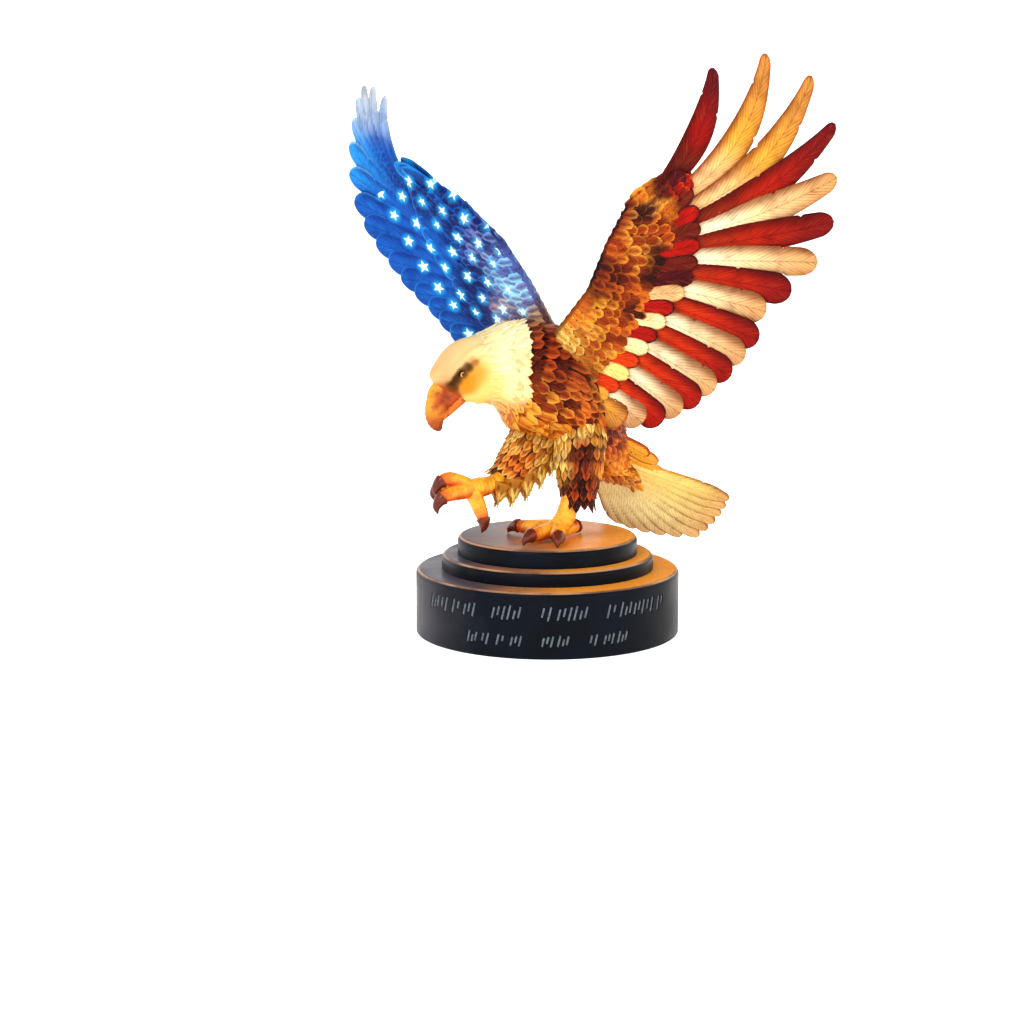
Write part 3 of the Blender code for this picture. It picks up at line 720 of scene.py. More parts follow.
def feather_paint(
    name, barb_mm, lines, light,
    shade_to=0.55, shade=0.8, stars=None, vary=0.0, dirt=1.0, dark=SHADE, side=0.0,
):
    """Brushed resin paint. The rim colour takes over towards a feather's edge, and the root gets painted
    shade where the feather before it lies over it; a skin without a vane gets that painted shade in full.
    Streaks follow the barbs, which slant off the quill: some are dark, some take on the light colour, and
    fine dark lines mark the barbs and the quill. Some feathers are lighter and some darker, by vary, and
    their rims are wider or narrower. side paints shade along a long feather's edges, where its neighbour lies
    over them.
    dirt scales the dark streaks, and stars adds painted stars."""
    g = Graph(name)
    edge = g.fact("edge", "Fac")
    paint, rim = g.fact("paint", "Color"), g.fact("rim", "Color")
    across, along, share = g.node("ShaderNodeSeparateXYZ", g.fact("vane")).outputs
    seed = g.node("ShaderNodeSeparateXYZ", g.fact("plan")).outputs[2]
    aside = g.math("ABSOLUTE", across)
    slant = g.minus(along, g.times(aside, BARB_SLANT))
    brush = g.node("ShaderNodeCombineXYZ", g.times(slant, 1.1), g.times(across, 0.3), g.times(seed, 60.0))
    streak = g.noise(1.0, 3.0, brush.outputs[0])
    wash = g.noise(110.0, 3.0)
    uneven = g.times(g.minus(streak, 0.5), 0.6)
    spread = g.times(g.minus(seed, 0.5), 0.7)
    colour = g.mix(g.step(g.plus(edge, g.plus(uneven, spread)), 0.35, 0.95), paint, rim)
    if vary:
        colour = g.mix(g.step(seed, 0.55, 0.95, 0.0, vary), colour, rim)
        colour = g.darken(colour, dark, seed, 0.45, 0.05, 0.0, vary)
    barb = g.math("ABSOLUTE", g.math("SINE", g.times(slant, math.pi / barb_mm)))
    colour = g.mix(g.step(streak, 0.46, 0.3, 0.0, 0.5), colour, light, "SCREEN")
    colour = g.darken(colour, dark, streak, 0.52, 0.72, 0.0, 0.6 * dirt)
    colour = g.darken(colour, dark, wash, 0.45, 0.7, 0.0, 0.4 * dirt)
    colour = g.darken(colour, dark, barb, 0.0, 0.5, lines, 0.0)
    colour = g.darken(colour, dark, aside, 0.5, 0.15, 0.0, 0.4 * dirt)
    # Painted shade over the root, up to shade_to of the length, where the feather before it lies over it.
    colour = g.darken(colour, dark, share, shade_to - 0.35, shade_to, shade, 0.0)
    # Painted shade along both long edges, where the neighbouring feather lies over them.
    if side:
        colour = g.darken(colour, dark, across, 0.5, 6.5, 0.0, 0.5 * side)
        colour = g.darken(colour, dark, across, -1.5, -6.5, 0.0, side)
    if stars:
        colour = stars(g, colour)
    height = g.plus(g.times(barb, 0.6), g.times(streak, 0.6))
    return g.finish(colour, g.step(wash, 0.3, 0.7, 0.34, 0.52), bump=height, specular=SATIN)


# The stars' lattice on the blue wing's plan, the part of the plan that has stars, how far a star's notches
# reach in, and how much its place and its turn vary.
STAR_PITCH = (13.5, 11.3)
STAR_START = (0.63, 1.4)
STAR_STAGGER = 0.6
STAR_REACH = ((22.0, 112.0), (-20.0, 41.0))
STAR_NOTCH = 0.45
STAR_SHIFT, STAR_TURN = 0.24, 3.0
FAR_AWAY = 50.0


def star_field(paint, halo, size):
    """Stars on a staggered lattice of the wing's plan. A point is in a star where it lies inside the straight
    edge from the star's point to its notch, after it is folded into a tenth of a turn. Each star has its own
    size, turn and small shift, and a soft halo."""
    tenth = math.pi / 5
    rise, run = STAR_NOTCH * math.sin(tenth), 1 - STAR_NOTCH * math.cos(tenth)

    def draw(g, under):
        p, q, _ = g.node("ShaderNodeSeparateXYZ", g.fact("plan")).outputs
        y = g.plus(g.times(q, 1 / STAR_PITCH[1]), STAR_START[1])
        row = g.math("FLOOR", y)
        x = g.plus(g.times(p, 1 / STAR_PITCH[0]), STAR_START[0])
        x = g.minus(x, g.times(row, STAR_STAGGER))
        cell = g.node("ShaderNodeCombineXYZ", g.math("FLOOR", x), row, 0.0).outputs[0]
        chance = g.node("ShaderNodeTexWhiteNoise", cell, noise_dimensions="3D").outputs["Value"]
        shift = g.times(g.minus(chance, 0.5), STAR_SHIFT)
        dx = g.times(g.minus(g.plus(g.math("FRACT", x), shift), 0.5), STAR_PITCH[0])
        dy = g.times(g.minus(g.minus(g.math("FRACT", y), shift), 0.5), STAR_PITCH[1])
        distance = g.math("SQRT", g.plus(g.times(dx, dx), g.times(dy, dy)))
        turn = g.plus(g.math("ARCTAN2", dy, dx), g.times(chance, STAR_TURN))
        fold = g.minus(g.math("MODULO", g.plus(turn, 4 * FULL_TURN), 2 * tenth), tenth)
        fold = g.minus(tenth, g.math("ABSOLUTE", fold))
        ahead = g.times(distance, g.math("COSINE", fold))
        aside = g.times(distance, g.math("SINE", fold))
        radius = g.times(g.plus(g.times(chance, 0.3), 0.85), size)
        inside = g.minus(g.times(g.minus(radius, ahead), rise), g.times(aside, run))
        mask = g.step(inside, -0.16, 0.2)
        for value, (low, high) in zip((p, q), STAR_REACH):
            within = g.times(g.math("GREATER_THAN", value, low), g.math("LESS_THAN", value, high))
            mask = g.times(mask, within)
            distance = g.plus(distance, g.times(g.minus(1.0, within), FAR_AWAY))
        haloed = g.mix(g.step(distance, size * 1.7, size * 0.4, 0.0, 0.8), under, halo, "SCREEN")
        return g.mix(mask, haloed, paint)

    return draw


def horn_paint(name, rough, coat, streak=0.4):
    """Brushed paint for beak, feet, talons and eyes: the mesh's colour, darker in blotches."""
    g = Graph(name)
    paint, rim = g.fact("paint", "Color"), g.fact("rim", "Color")
    colour = g.mix(g.fact("edge", "Fac"), paint, rim)
    blotch, brush = g.noise(260.0, 3.0), g.noise(900.0, 2.0)
    colour = g.darken(colour, SHADE, blotch, 0.42, 0.68, 0.0, streak)
    colour = g.darken(colour, SHADE, brush, 0.5, 0.75, 0.0, 0.3 * streak)
    gloss = g.step(brush, 0.3, 0.7, rough - 0.06, rough + 0.08)
    return g.finish(colour, gloss, coat, brush, 0.06, specular=0.25)


def lacquer(name, base, warm_reflection, sheen, edge_highlight):
    """Deep lacquer over a turned base. The steps' flat tops carry a painted reflection that goes from a cool
    grey sheen on one side to warm amber on the other, by the object's own X, their round edges carry an
    uneven painted highlight, and the walls have a faint painted sheen on the cool side."""
    g = Graph(name)
    where = g.node("ShaderNodeTexCoord").outputs["Object"]
    across = g.node("ShaderNodeSeparateXYZ", where).outputs[0]
    blotch, fine = g.noise(50.0, 4.0), g.noise(900.0, 3.0)
    wander = g.plus(across, g.times(g.minus(blotch, 0.5), 0.05))
    # Painted reflection on the tops: the cool sheen towards -X, the warm amber towards +X.
    tops = g.mix(g.step(wander, -0.04, 0.02), sheen, warm_reflection)
    tops = g.darken(tops, (0.55, 0.4, 0.3), fine, 0.45, 0.75, 0.0, 0.5)
    deep = g.mix(g.step(blotch, 0.3, 0.7, 0.0, 0.7), base, tuple(0.35 * c for c in base))
    # A faint painted sheen on the walls towards -X.
    deep = g.mix(g.step(wander, -0.03, -0.075, 0.0, 0.35), deep, sheen)
    flat = g.fact("edge", "Fac")
    colour = g.mix(g.step(flat, 0.75, 1.0), deep, tops)
    # A painted highlight along the round edges between each top and its wall, uneven by the blotches.
    band = g.times(g.step(flat, 0.35, 0.6), g.step(flat, 0.95, 0.8))
    colour = g.mix(g.times(band, g.step(blotch, 0.35, 0.6, 0.25, 0.8)), colour, edge_highlight)
    colour = g.darken(colour, (0.4, 0.4, 0.4), fine, 0.55, 0.8, 0.0, 0.3)
    return g.finish(colour, g.step(blotch, 0.3, 0.7, 0.3, 0.44), bump=fine, bump_mm=0.02, specular=SATIN)


def plain_paint(name, low, high, rough):
    """One paint that noise moves between two shades."""
    g = Graph(name)
    fine = g.noise(700.0, 3.0)
    colour = g.mix(g.step(fine, 0.3, 0.7), low, high)
    return g.finish(colour, g.step(fine, 0.3, 0.7, rough, rough + 0.15), bump=fine, bump_mm=0.05)


def ink(red, green, blue):
    """An sRGB colour of 0 to 255 as the linear numbers that Blender mixes."""
    share = np.array((red, green, blue)) / 255.0
    linear = np.where(share <= 0.04045, share / 12.92, ((share + 0.055) / 1.055) ** 2.4)
    return tuple(float(c) for c in linear)


def swatch(name, description, *rgb):
    """A colour setting, with its default in sRGB."""
    return bpy.props.FloatVectorProperty(
        name=name, description=description, subtype="COLOR", size=3, min=0.0, max=1.0, default=ink(*rgb)
    )


def amount(name, description, default, unit="NONE", **limits):
    """A setting of one number."""
    return bpy.props.FloatProperty(name=name, description=description, default=default, unit=unit, **limits)


class EaglePaints(bpy.types.PropertyGroup):
    """The bird's paints."""

    cream: swatch("Cream", "Pale feathers of the head and tail", 252, 236, 166)
    ivory: swatch("Ivory", "Lightest stripes", 254, 238, 196)
    straw: swatch("Straw", "Yellow of throat and tail", 248, 222, 122)
    peach: swatch("Peach", "Forehead, hem and stripe tips", 244, 190, 126)
    amber: swatch("Amber", "Cheek", 232, 148, 24)
    gold: swatch("Gold", "Golden feathers", 238, 166, 52)
    sand: swatch("Sand", "Pale stripes", 240, 196, 126)
    tan: swatch("Tan", "Ends of the pale stripes", 204, 142, 80)
    ochre: swatch("Ochre", "Golden brown feather ends", 186, 122, 58)
    orange: swatch("Orange", "Edges of brown feathers", 232, 118, 30)
    rust: swatch("Rust", "Brown feathers in light", 172, 62, 16)
    maroon: swatch("Maroon", "Dark brown feathers", 104, 24, 12)
    umber: swatch("Umber", "Darkest brown", 52, 16, 10)
    plum: swatch("Plum", "Brown of the back", 124, 74, 70)
    red: swatch("Red", "Red stripes", 168, 10, 4)
    wine: swatch("Wine", "Dark tips of red feathers", 70, 6, 16)
    flame: swatch("Flame", "Orange ends of the inner red stripes", 220, 58, 6)
    navy: swatch("Navy", "Darkest blue", 8, 24, 92)
    blue: swatch("Blue", "Main blue", 8, 78, 168)
    azure: swatch("Azure", "Light blue", 30, 136, 212)
    ice: swatch("Ice", "Pale streaks at the wing tip", 150, 214, 236)
    mist: swatch("Mist", "Faded wing tip", 184, 188, 192)
    lilac: swatch("Lilac", "Grey blue near the shoulder", 112, 116, 172)
    star: swatch("Star", "Stars", 214, 252, 252)
    halo: swatch("Halo", "Glow round the stars", 24, 150, 214)
    horn: swatch("Horn", "Beak", 240, 152, 34)
    horn_dark: swatch("Dark horn", "Beak side and tip", 168, 66, 2)
    foot: swatch("Foot", "Legs and toes", 248, 172, 40)
    foot_red: swatch("Warm foot", "Shaded side of legs and toes", 214, 78, 18)
    talon: swatch("Talon", "Talons", 98, 30, 6)
    pupil: swatch("Pupil", "Pupil and eye rim", 16, 9, 6)
    # Painted shadow in the hollow under the brow.
    socket: swatch("Socket", "Hollow under the brow", 84, 50, 16)


class PlinthPaints(bpy.types.PropertyGroup):
    """The plinth's lacquer and strokes."""

    lacquer: swatch("Lacquer", "Plinth", 3, 9, 20)
    # The steps' tops carry a painted reflection, warm on one side and a cool grey sheen on the other.
    warm_reflection: swatch("Warm reflection", "Warm side of the steps' tops", 244, 158, 52)
    sheen: swatch("Sheen", "Cool side of the steps' tops", 78, 72, 84)
    # A painted highlight along the steps' round edges.
    edge_highlight: swatch("Edge highlight", "Round edges of the steps", 196, 150, 118)
    stroke: swatch("Strokes", "Paint in the shallow strokes", 92, 104, 112)
    stroke_depth: amount("Stroke depth", "Depth of the grooves, in millimetres", 0.5, min=0.1, max=1.0)


class FeatherSizes(bpy.types.PropertyGroup):
    """Sizes of feathers and stars, in millimetres."""

    barb_pitch: amount("Barb pitch", "Distance between the carved barbs of a flight feather", 3.0, min=1.0)
    barb_depth: amount("Barb depth", "Depth of the carved barbs", 0.3, min=0.0)
    scale_gap: amount("Scale gap", "Distance between rows of body feathers", 4.6, min=3.0)
    scale_width: amount("Scale width", "Width of a body feather", 5.9, min=3.0)
    star_size: amount("Star size", "Radius of a painted star", 3.1, min=0.5)


class StageSettings(bpy.types.PropertyGroup):
    """Floor and lights."""

    floor: swatch("Floor", "Plain pale floor", 246, 246, 246)
    floor_glow: amount("Floor glow", "Light that the pale floor gives off by itself", 0.9, min=0.0)
    floor_radius: amount("Floor radius", "Radius of the round floor", 6.0, "LENGTH", min=1.0)
    key: amount("Key light", "Power of the large soft light", 7.0, "POWER", min=0.0)
    fill: amount("Fill light", "Power of the fill light", 2.0, "POWER", min=0.0)
    warm: amount("Warm light", "Power of the warm light behind", 3.5, "POWER", min=0.0)
    world: amount("World", "Strength of the even light all round", 0.34, min=0.0)


def staggered(stops, counts):
    """Rings of feathers: the station and the angle of each, with every other ring half a place round."""
    v = [FULL_TURN * (np.arange(count) + 0.5 * (k % 2)) / count for k, count in enumerate(counts)]
    return np.repeat(stops, counts), np.concatenate(v)


# How much of a scale's width shows beside its neighbour, and the fewest in a ring.
SHOWN_WIDTH = 0.80
LEAST_RING = 5


def scale_places(rows, gap, low, high, width, below=math.inf):
    """Staggered rings of scales a gap apart between two stations of a limb, the high end's first."""
    fine = np.linspace(low, high, 200)
    centres = curve(fine, np.arange(len(rows)), np.array([row[0] for row in rows], float))
    run = np.concatenate(((0.0,), np.cumsum(np.linalg.norm(np.diff(centres, axis=0), axis=1))))
    stops = np.interp(np.arange(0.0, run[-1], gap), run, fine)
    sizes = curve(stops, np.arange(len(rows)), np.array([row[1:] for row in rows], float))
    counts = np.maximum((math.pi * sizes.sum(-1) / (SHOWN_WIDTH * width)).astype(int), LEAST_RING)
    kept = stops < below
    return staggered(stops[kept][::-1], counts[kept][::-1])


def shake(count, low, high, salt=0):
    """Seeded random numbers, so that each run gives the same bird."""
    return np.random.default_rng(SEED + salt).uniform(low, high, count)


# The skin that shows between feathers is painted at this share of their paint and takes the painted root
# shade in full, as painted shade in the gaps. A bare skin has a feather end's vane, so that no painted root
# shade falls on it.
GAP_SHADE = 0.6
BARE_VANE = (0.0, 0.0, 1.0)
SCALE_LENGTH, HACKLE_LENGTH, POINT_LENGTH, CAPE_LENGTH = 9.4, 9.0, 7.5, 11.5
TRUNK_MARKS = (
    (-1.0, -20.0, 146.0, 9.0, "maroon 0.8", "rust"),
    (-13.0, -8.0, 156.0, 14.0, "plum", "peach 0.7"),
    (13.0, -18.0, 143.0, 9.0, "maroon 0.8", "rust"),
    (6.0, -26.0, 131.0, 10.0, "maroon 0.7", "rust"),
    (18.0, -24.0, 128.0, 9.0, "maroon 0.7", "rust"),
    (-9.0, -26.0, 120.0, 8.0, "rust", "gold"),
    (-13.0, -22.0, 109.0, 9.0, "orange 0.8", "gold"),
    (2.0, -24.0, 115.0, 9.0, "rust 0.8", "gold"),
    (16.0, -22.0, 112.0, 9.0, "maroon", "orange"),
    (-3.0, -20.0, 99.0, 11.0, "orange 0.85", "gold"),
    (30.0, -10.0, 132.0, 12.0, "gold 0.8", "straw"),
    (34.0, 6.0, 104.0, 14.0, "umber", "rust"),
    (10.0, 14.0, 146.0, 18.0, "umber", "rust"),
    (22.0, 36.0, 110.0, 24.0, "maroon", "rust"),
    (31.0, 8.0, 96.0, 7.0, "rust", "orange"),
    (36.0, 16.0, 86.0, 8.0, "orange", "gold"),
    (-10.0, 14.0, 112.0, 20.0, "rust", "orange"),
    (40.0, 34.0, 78.0, 14.0, "orange", "gold"),
)


def body(finish):
    """The trunk under its coat of overlapping feathers, and the tuft under the tail."""
    sizes = bpy.context.scene.feather_sizes
    coat = Coat()
    fill, rim = airbrush(TRUNK_MARKS)
    # The trunk's skin is dimmed, as painted shade where it shows between the feathers.
    skin = limb(coat, TRUNK, trunk_sides(), 90, 72, ends=(0.0, TRUNK_END), paint=dimmed(fill, GAP_SHADE))
    u, v = scale_places(TRUNK, sizes.scale_gap, 0.3, TRUNK_END, sizes.scale_width)
    heading = math.pi + shake(len(u), -0.12, 0.12)
    length = SCALE_LENGTH * shake(len(u), 0.88, 1.14, 1)
    lay(coat, skin, u, v, heading, length, sizes.scale_width, SCALE, fill, rim)
    skin = limb(coat, TUFT, LEFT, 24, 32, paint=pot("orange"))
    u, v = scale_places(TUFT, 3.6, 0.2, 2.9, 4.4)
    heading = shake(len(u), -0.2, 0.2, 2)
    lay(coat, skin, u, v, heading, POINT_LENGTH, 4.8, HACKLE, pot("orange 0.9"), pot("gold"))
    coat.piece("body_feathers", finish, "brown_feathers", "eagle")


STANDING_MARKS = (
    (17.0, -22.0, 88.0, 10.0, "maroon 0.8", "rust"),
    (16.0, -19.0, 73.0, 7.0, "umber", "rust"),
    (9.0, -16.0, 106.0, 6.0, "gold", "straw"),
    (19.0, -18.0, 109.0, 6.0, "gold", "straw"),
    (4.5, -14.0, 96.0, 5.5, "gold", "straw"),
    (6.0, -15.0, 83.0, 4.5, "gold", "straw"),
    (27.0, -12.0, 98.0, 5.5, "gold", "straw"),
    (25.5, -13.0, 84.0, 4.5, "orange", "gold"),
    (28.0, 0.0, 84.0, 9.0, "maroon", "orange"),
)
RAISED_MARKS = (
    (2.0, -2.0, 106.0, 9.0, "orange 0.8", "gold"),
    (-12.0, -8.0, 98.0, 8.0, "gold", "straw"),
    (-9.0, -12.0, 90.0, 5.5, "rust", "gold"),
    (-15.0, -16.0, 83.0, 5.5, "rust", "orange"),
    (-2.0, -8.0, 86.0, 6.0, "gold", "straw"),
    (-10.0, -10.0, 76.0, 6.0, "gold", "straw"),
    (-24.0, -16.0, 76.0, 6.0, "gold", "straw"),
    (-16.0, 6.0, 90.0, 12.0, "orange 0.8", "gold"),
)


def thighs(finish):
    """Both thighs' coats, and the feather points hanging behind the raised one."""
    coat = Coat()
    for rows, marks, salt in ((LEFT_THIGH, STANDING_MARKS, 3), (RIGHT_THIGH, RAISED_MARKS, 4)):
        fill, rim = airbrush(marks)
        # Each thigh's skin is dimmed, as painted shade where it shows between the feathers.
        skin = limb(coat, rows, LEFT, 40, 48, paint=dimmed(fill, GAP_SHADE))
        u, v = scale_places(rows, 4.6, 0.3, 3.75, 5.2)
        length = HACKLE_LENGTH * shake(len(u), 0.85, 1.15, salt)
        lay(coat, skin, u, v, shake(len(u), -0.1, 0.1, salt + 1), length, 5.4, HACKLE, fill, rim)
    for root, point in FRINGE:
        centres = np.linspace(root, point, len(FRINGE_RADII))
        rows = [(centre, radius, radius) for centre, radius in zip(centres, FRINGE_RADII)]
        skin = limb(coat, rows, LEFT, 20, 24, paint=pot("gold"), vane=BARE_VANE)
        u, v = staggered(FRINGE_STATIONS, FRINGE_COUNTS)
        lay(coat, skin, u, v, 0.0, POINT_LENGTH, 4.0, HACKLE, pot("gold"), pot("straw"))
    coat.piece("thigh_feathers", finish, "brown_feathers", "eagle")


def wrapped(angle):
    """The same angle between half a turn back and half a turn on."""
    return np.angle(np.exp(1j * angle))


# The brow's line runs at these angles in degrees over the hood's stations. Its ridge and the hollow under it
# have a height, a middle over the line and a reach in degrees.
BROW_STATIONS, BROW_ANGLES = (3.3, 3.85, 4.15, 4.5, 5.0), (38.0, 29.0, 22.0, 18.0, 9.0)
BROW_FORMS = ((1.6, 7.0, 7.0), (-1.5, -5.0, 5.0))
HEAD_MARKS = (
    (-50.0, -28.0, 136.0, 6.5, "peach", "peach"),
    (-43.0, -29.0, 141.0, 7.0, "peach 0.6 cream 0.4", "peach"),
    (-32.0, -26.0, 148.0, 8.0, "cream", "ivory"),
    (-18.0, -26.0, 151.0, 10.0, "cream", "ivory"),
    (-20.0, -36.0, 138.0, 9.0, "cream", "ivory"),
    (-28.0, -37.0, 130.0, 6.0, "straw", "cream"),
    (-32.5, -36.0, 131.0, 3.6, "amber", "amber"),
    (-37.0, -34.5, 127.5, 3.0, "amber", "amber"),
    # A painted shadow under the brow: a thin dark line from the brow's top down towards the gape, ending in
    # rust.
    (-34.6, -35.8, 137.2, 1.2, "ochre", "ochre"),
    (-37.2, -35.6, 134.6, 1.3, "socket", "socket"),
    (-40.1, -35.1, 131.6, 1.6, "socket", "socket"),
    (-42.6, -34.3, 129.1, 1.6, "socket", "socket"),
    (-45.0, -33.0, 126.4, 1.8, "socket", "rust"),
    (-21.0, -30.0, 110.5, 6.0, "rust", "gold"),
    (-12.0, -31.0, 113.5, 5.0, "rust", "gold"),
    (-47.5, -29.0, 124.0, 3.4, "horn_dark", "horn_dark"),
    (-24.0, -34.0, 119.0, 8.0, "straw", "cream"),
    (-12.0, -32.0, 136.0, 5.0, "cream", "peach"),
    (-14.0, -32.0, 122.0, 5.0, "cream", "peach"),
    (-30.0, 0.0, 134.0, 14.0, "cream", "ivory"),
    (-46.0, -18.0, 130.0, 7.0, "peach", "straw"),
)


def brow(u, v):
    """A ridge along the brow's line on both sides, and the eye's hollow under it: bells over the angle."""
    line = np.interp(u, BROW_STATIONS, BROW_ANGLES)
    height = 0.0
    for around in (v, math.pi - v):
        over = np.degrees(wrapped(around)) - line
        for rise, middle, reach in BROW_FORMS:
            height = height + rise * np.exp(-(((over - middle) / reach) ** 2))
    return height * (smooth(2.8, 3.4, u) * smooth(5.6, 5.0, u))


def head(finish):
    """The pale head and its hackles, which end on the shoulders in long points."""
    coat = Coat()
    fill, rim = airbrush(HEAD_MARKS)
    ends = (HOOD_START, len(HOOD) - 1)
    bare = limb(coat, HOOD, HEAD_SIDE, 110, 120, relief=brow, ends=ends, paint=fill, vane=BARE_VANE)

    def skin(u, v, h=0.0):
        return bare(u, v, h + brow(u, v))

    u, v = scale_places(HOOD, 3.4, HOOD_START + 0.6, 5.95, 4.2, below=BARE_FRONT)
    growth = smooth(5.2, 1.2, u)
    heading = math.pi + shake(len(u), -0.08, 0.08, 7)
    length = (4.0 + 6.2 * growth) * shake(len(u), 0.85, 1.2, 6)
    small = HACKLE._replace(lift=0.45, thick=0.6)
    lay(coat, skin, u, v, heading, length, 2.4 + 2.4 * growth, small, fill, rim)
    u, v = staggered(CAPE_STATIONS, CAPE_COUNTS)
    heading = math.pi + shake(len(u), -0.1, 0.1, 8)
    length = CAPE_LENGTH * shake(len(u), 0.85, 1.25, 9)
    cape = HACKLE._replace(rows=8, thick=1.1, sink=0.3, lift=2.3)
    lay(coat, limb_skin(TRUNK, trunk_sides()), u, v, heading, length, 5.2, cape, fill, rim)
    coat.piece("head_feathers", finish, "pale_feathers", "eagle")


EYE_STATION = 11.25
EYE_ANGLE = math.radians(9.0)
EYE_RADIUS, EYE_SUNK = 1.8, 1.5


def eyes(finish):
    """An eye under each brow: a ball with iris and pupil, and a dark rim in front of and behind it."""
    coat = Coat()
    trunk = limb_skin(TRUNK, trunk_sides())
    lean = np.linspace(0.06, math.pi - 0.06, 24)[:, None, None]
    v = turns(28)[None, :, None]
    iris = smooth(0.42, 0.5, lean) * pot("amber") + smooth(0.5, 0.42, lean) * pot("pupil")
    shade = smooth(0.7, 0.85, lean)
    flat, deep = np.sin(lean), np.cos(lean)
    for angle in (EYE_ANGLE, math.pi - EYE_ANGLE):
        centre = trunk(EYE_STATION, angle, -EYE_SUNK)
        out = unit(trunk(EYE_STATION, angle, 1.0) - trunk(EYE_STATION, angle, 0.0))
        ahead = unit(np.cross(out, (0.0, 0.0, 1.0)))
        upward = np.cross(out, ahead)
        grid = centre + EYE_RADIUS * (deep * out + flat * (np.cos(v) * ahead + np.sin(v) * upward))
        poles = np.stack((centre + EYE_RADIUS * out, centre - EYE_RADIUS * out))[None]
        coat.add(grid[None], poles, paint=(iris * (1 - shade) + pot("pupil") * shade + 0 * grid)[None])
    coat.piece("eyes", finish, "talons", "eagle")


NOSTRIL_STATION, NOSTRIL_ANGLE = 1.05, 0.35


def beak(finish):
    """Upper and lower beak: a nostril dent, the cere's step and fine rings towards the tip."""
    coat = Coat()

    def upper(u, v):
        nostril = sum(
            np.exp(-(((u - NOSTRIL_STATION) / 0.16) ** 2) - ((wrapped(v - side) / 0.28) ** 2))
            for side in (NOSTRIL_ANGLE, math.pi - NOSTRIL_ANGLE)
        )
        cere = 0.35 * smooth(1.75, 1.55, u)
        groove = 0.12 * np.sin(u * 16.0) * smooth(1.8, 2.4, u)
        return cere - 0.9 * nostril + groove

    def fill(u, v, s, grid):
        base = between(pot("horn"), pot("horn_dark"), smooth(0.85, 0.3, np.sin(v)) * smooth(3.2, 1.6, u))
        return between(base, pot("horn_dark 0.8"), 0.95 * smooth(2.0, 3.8, u))

    limb(coat, UPPER_BEAK, HEAD_SIDE, 90, 48, relief=upper, paint=fill, rim=pot("horn_dark"))
    limb(coat, LOWER_BEAK, HEAD_SIDE, 50, 36, paint=pot("orange 0.8"), rim=pot("horn"))
    coat.piece("beak", finish, "beak_and_feet", "eagle")


# Scutes between two stations of a limb. Flesh and talon sheaths are wider than the bare toe by these shares.
SCUTES = 3.0
TOE_FLESH, TALON_SHEATH = 1.1, 1.22
TOE_END, TALON_START = 3.2, 2.75


def scutes(high):
    """Rings round a limb, as high x (sqrt|sin| - 0.7) along its stations."""
    return lambda u, v: high * (np.abs(np.sin(math.pi * SCUTES * u)) ** 0.5 - 0.7)


def feet(skin_finish, talon_finish):
    """Shanks and toes with rings of scutes, and the talons."""
    flesh, claws = Coat(), Coat()

    # Legs and toes get painted shade, in the warm foot colour, on the side where sin(v) is below zero; the
    # toes also turn warm towards their talons, which is their own colour.
    def reddened(share):
        return between(pot("foot"), pot("foot_red"), share)

    def shank_paint(u, v, s, grid):
        return reddened(smooth(0.2, -0.9, np.sin(v)))

    def toe_paint(u, v, s, grid):
        return reddened(np.maximum(smooth(0.3, -0.8, np.sin(v)), 0.9 * smooth(1.3, 2.8, u)))

    def talon_paint(u, v, s, grid):
        return pot("talon") + 0.12 * smooth(3.4, 2.9, u)[..., None] * (pot("rust") - pot("talon"))

    def talon_relief(u, v):
        return 0.25 * smooth(3.4, 2.9, u) - 0.35 * smooth(4.0, 5.0, u)

    for rows in (LEFT_SHANK, RIGHT_SHANK):
        limb(flesh, rows, LEFT, 90, 28, relief=scutes(0.35), paint=shank_paint)
    for palm, toes in ((PALM_LEFT, LEFT_TOES), (PALM_RIGHT, RIGHT_TOES)):
        for joints in toes:
            rows = [(centre, TOE_FLESH * r, TOE_FLESH * r) for centre, r in zip((palm, *joints), TOE_RADII)]
            limb(flesh, rows, TOE_SIDE, 70, 24, relief=scutes(0.3), ends=(0.0, TOE_END), paint=toe_paint)
            rows = [(centre, TALON_SHEATH * r, TALON_SHEATH * r) for centre, r, _ in rows]
            ends = (TALON_START, len(rows) - 1)
            limb(claws, rows, TOE_SIDE, 34, 20, relief=talon_relief, ends=ends, paint=talon_paint)
    flesh.piece("legs_and_toes", skin_finish, "beak_and_feet", "eagle")
    claws.piece("talon_tips", talon_finish, "talons", "eagle")


def flight_plan(wing, number):
    """Root, heading, length, share of a finger's outline and bow of flight feathers, from their numbers."""

    def place(stops, end):
        return np.stack([np.interp(number, stops, wing[f"{end}_{axis}"]) for axis in "pq"], -1)

    root = place(ROOT_STOPS, "root")
    line = place(TIP_STOPS, "tip") - root
    finger = np.clip((PRIMARY_COUNT - 1 - number) / FINGER_FADE, 0.0, 1.0)
    bow = np.interp(number, BOW_STOPS, wing["bow"])
    return root, np.arctan2(line[..., 1], line[..., 0]), np.linalg.norm(line, axis=-1), finger, bow


# Where a feather's barbs part: the gap's half length and depth, as shares of the feather's length and width.
SPLIT_LENGTH, SPLIT_DEPTH = 0.008, 0.15


def splits(seed):
    """Two thin gaps where a feather's barbs part, one on each side of the quill."""
    places = np.random.default_rng(seed).uniform(0.5, 0.85, 2)

    def shape(s, t):
        left = np.exp(-(((s - places[0]) / SPLIT_LENGTH) ** 2)) * (t > 0.5)
        right = np.exp(-(((s - places[1]) / SPLIT_LENGTH) ** 2)) * (t < -0.5)
        return 1 - SPLIT_DEPTH * (left + right)

    return shape


ROWS_PER_MM = 1.5
LONG_MOOD = 0.3


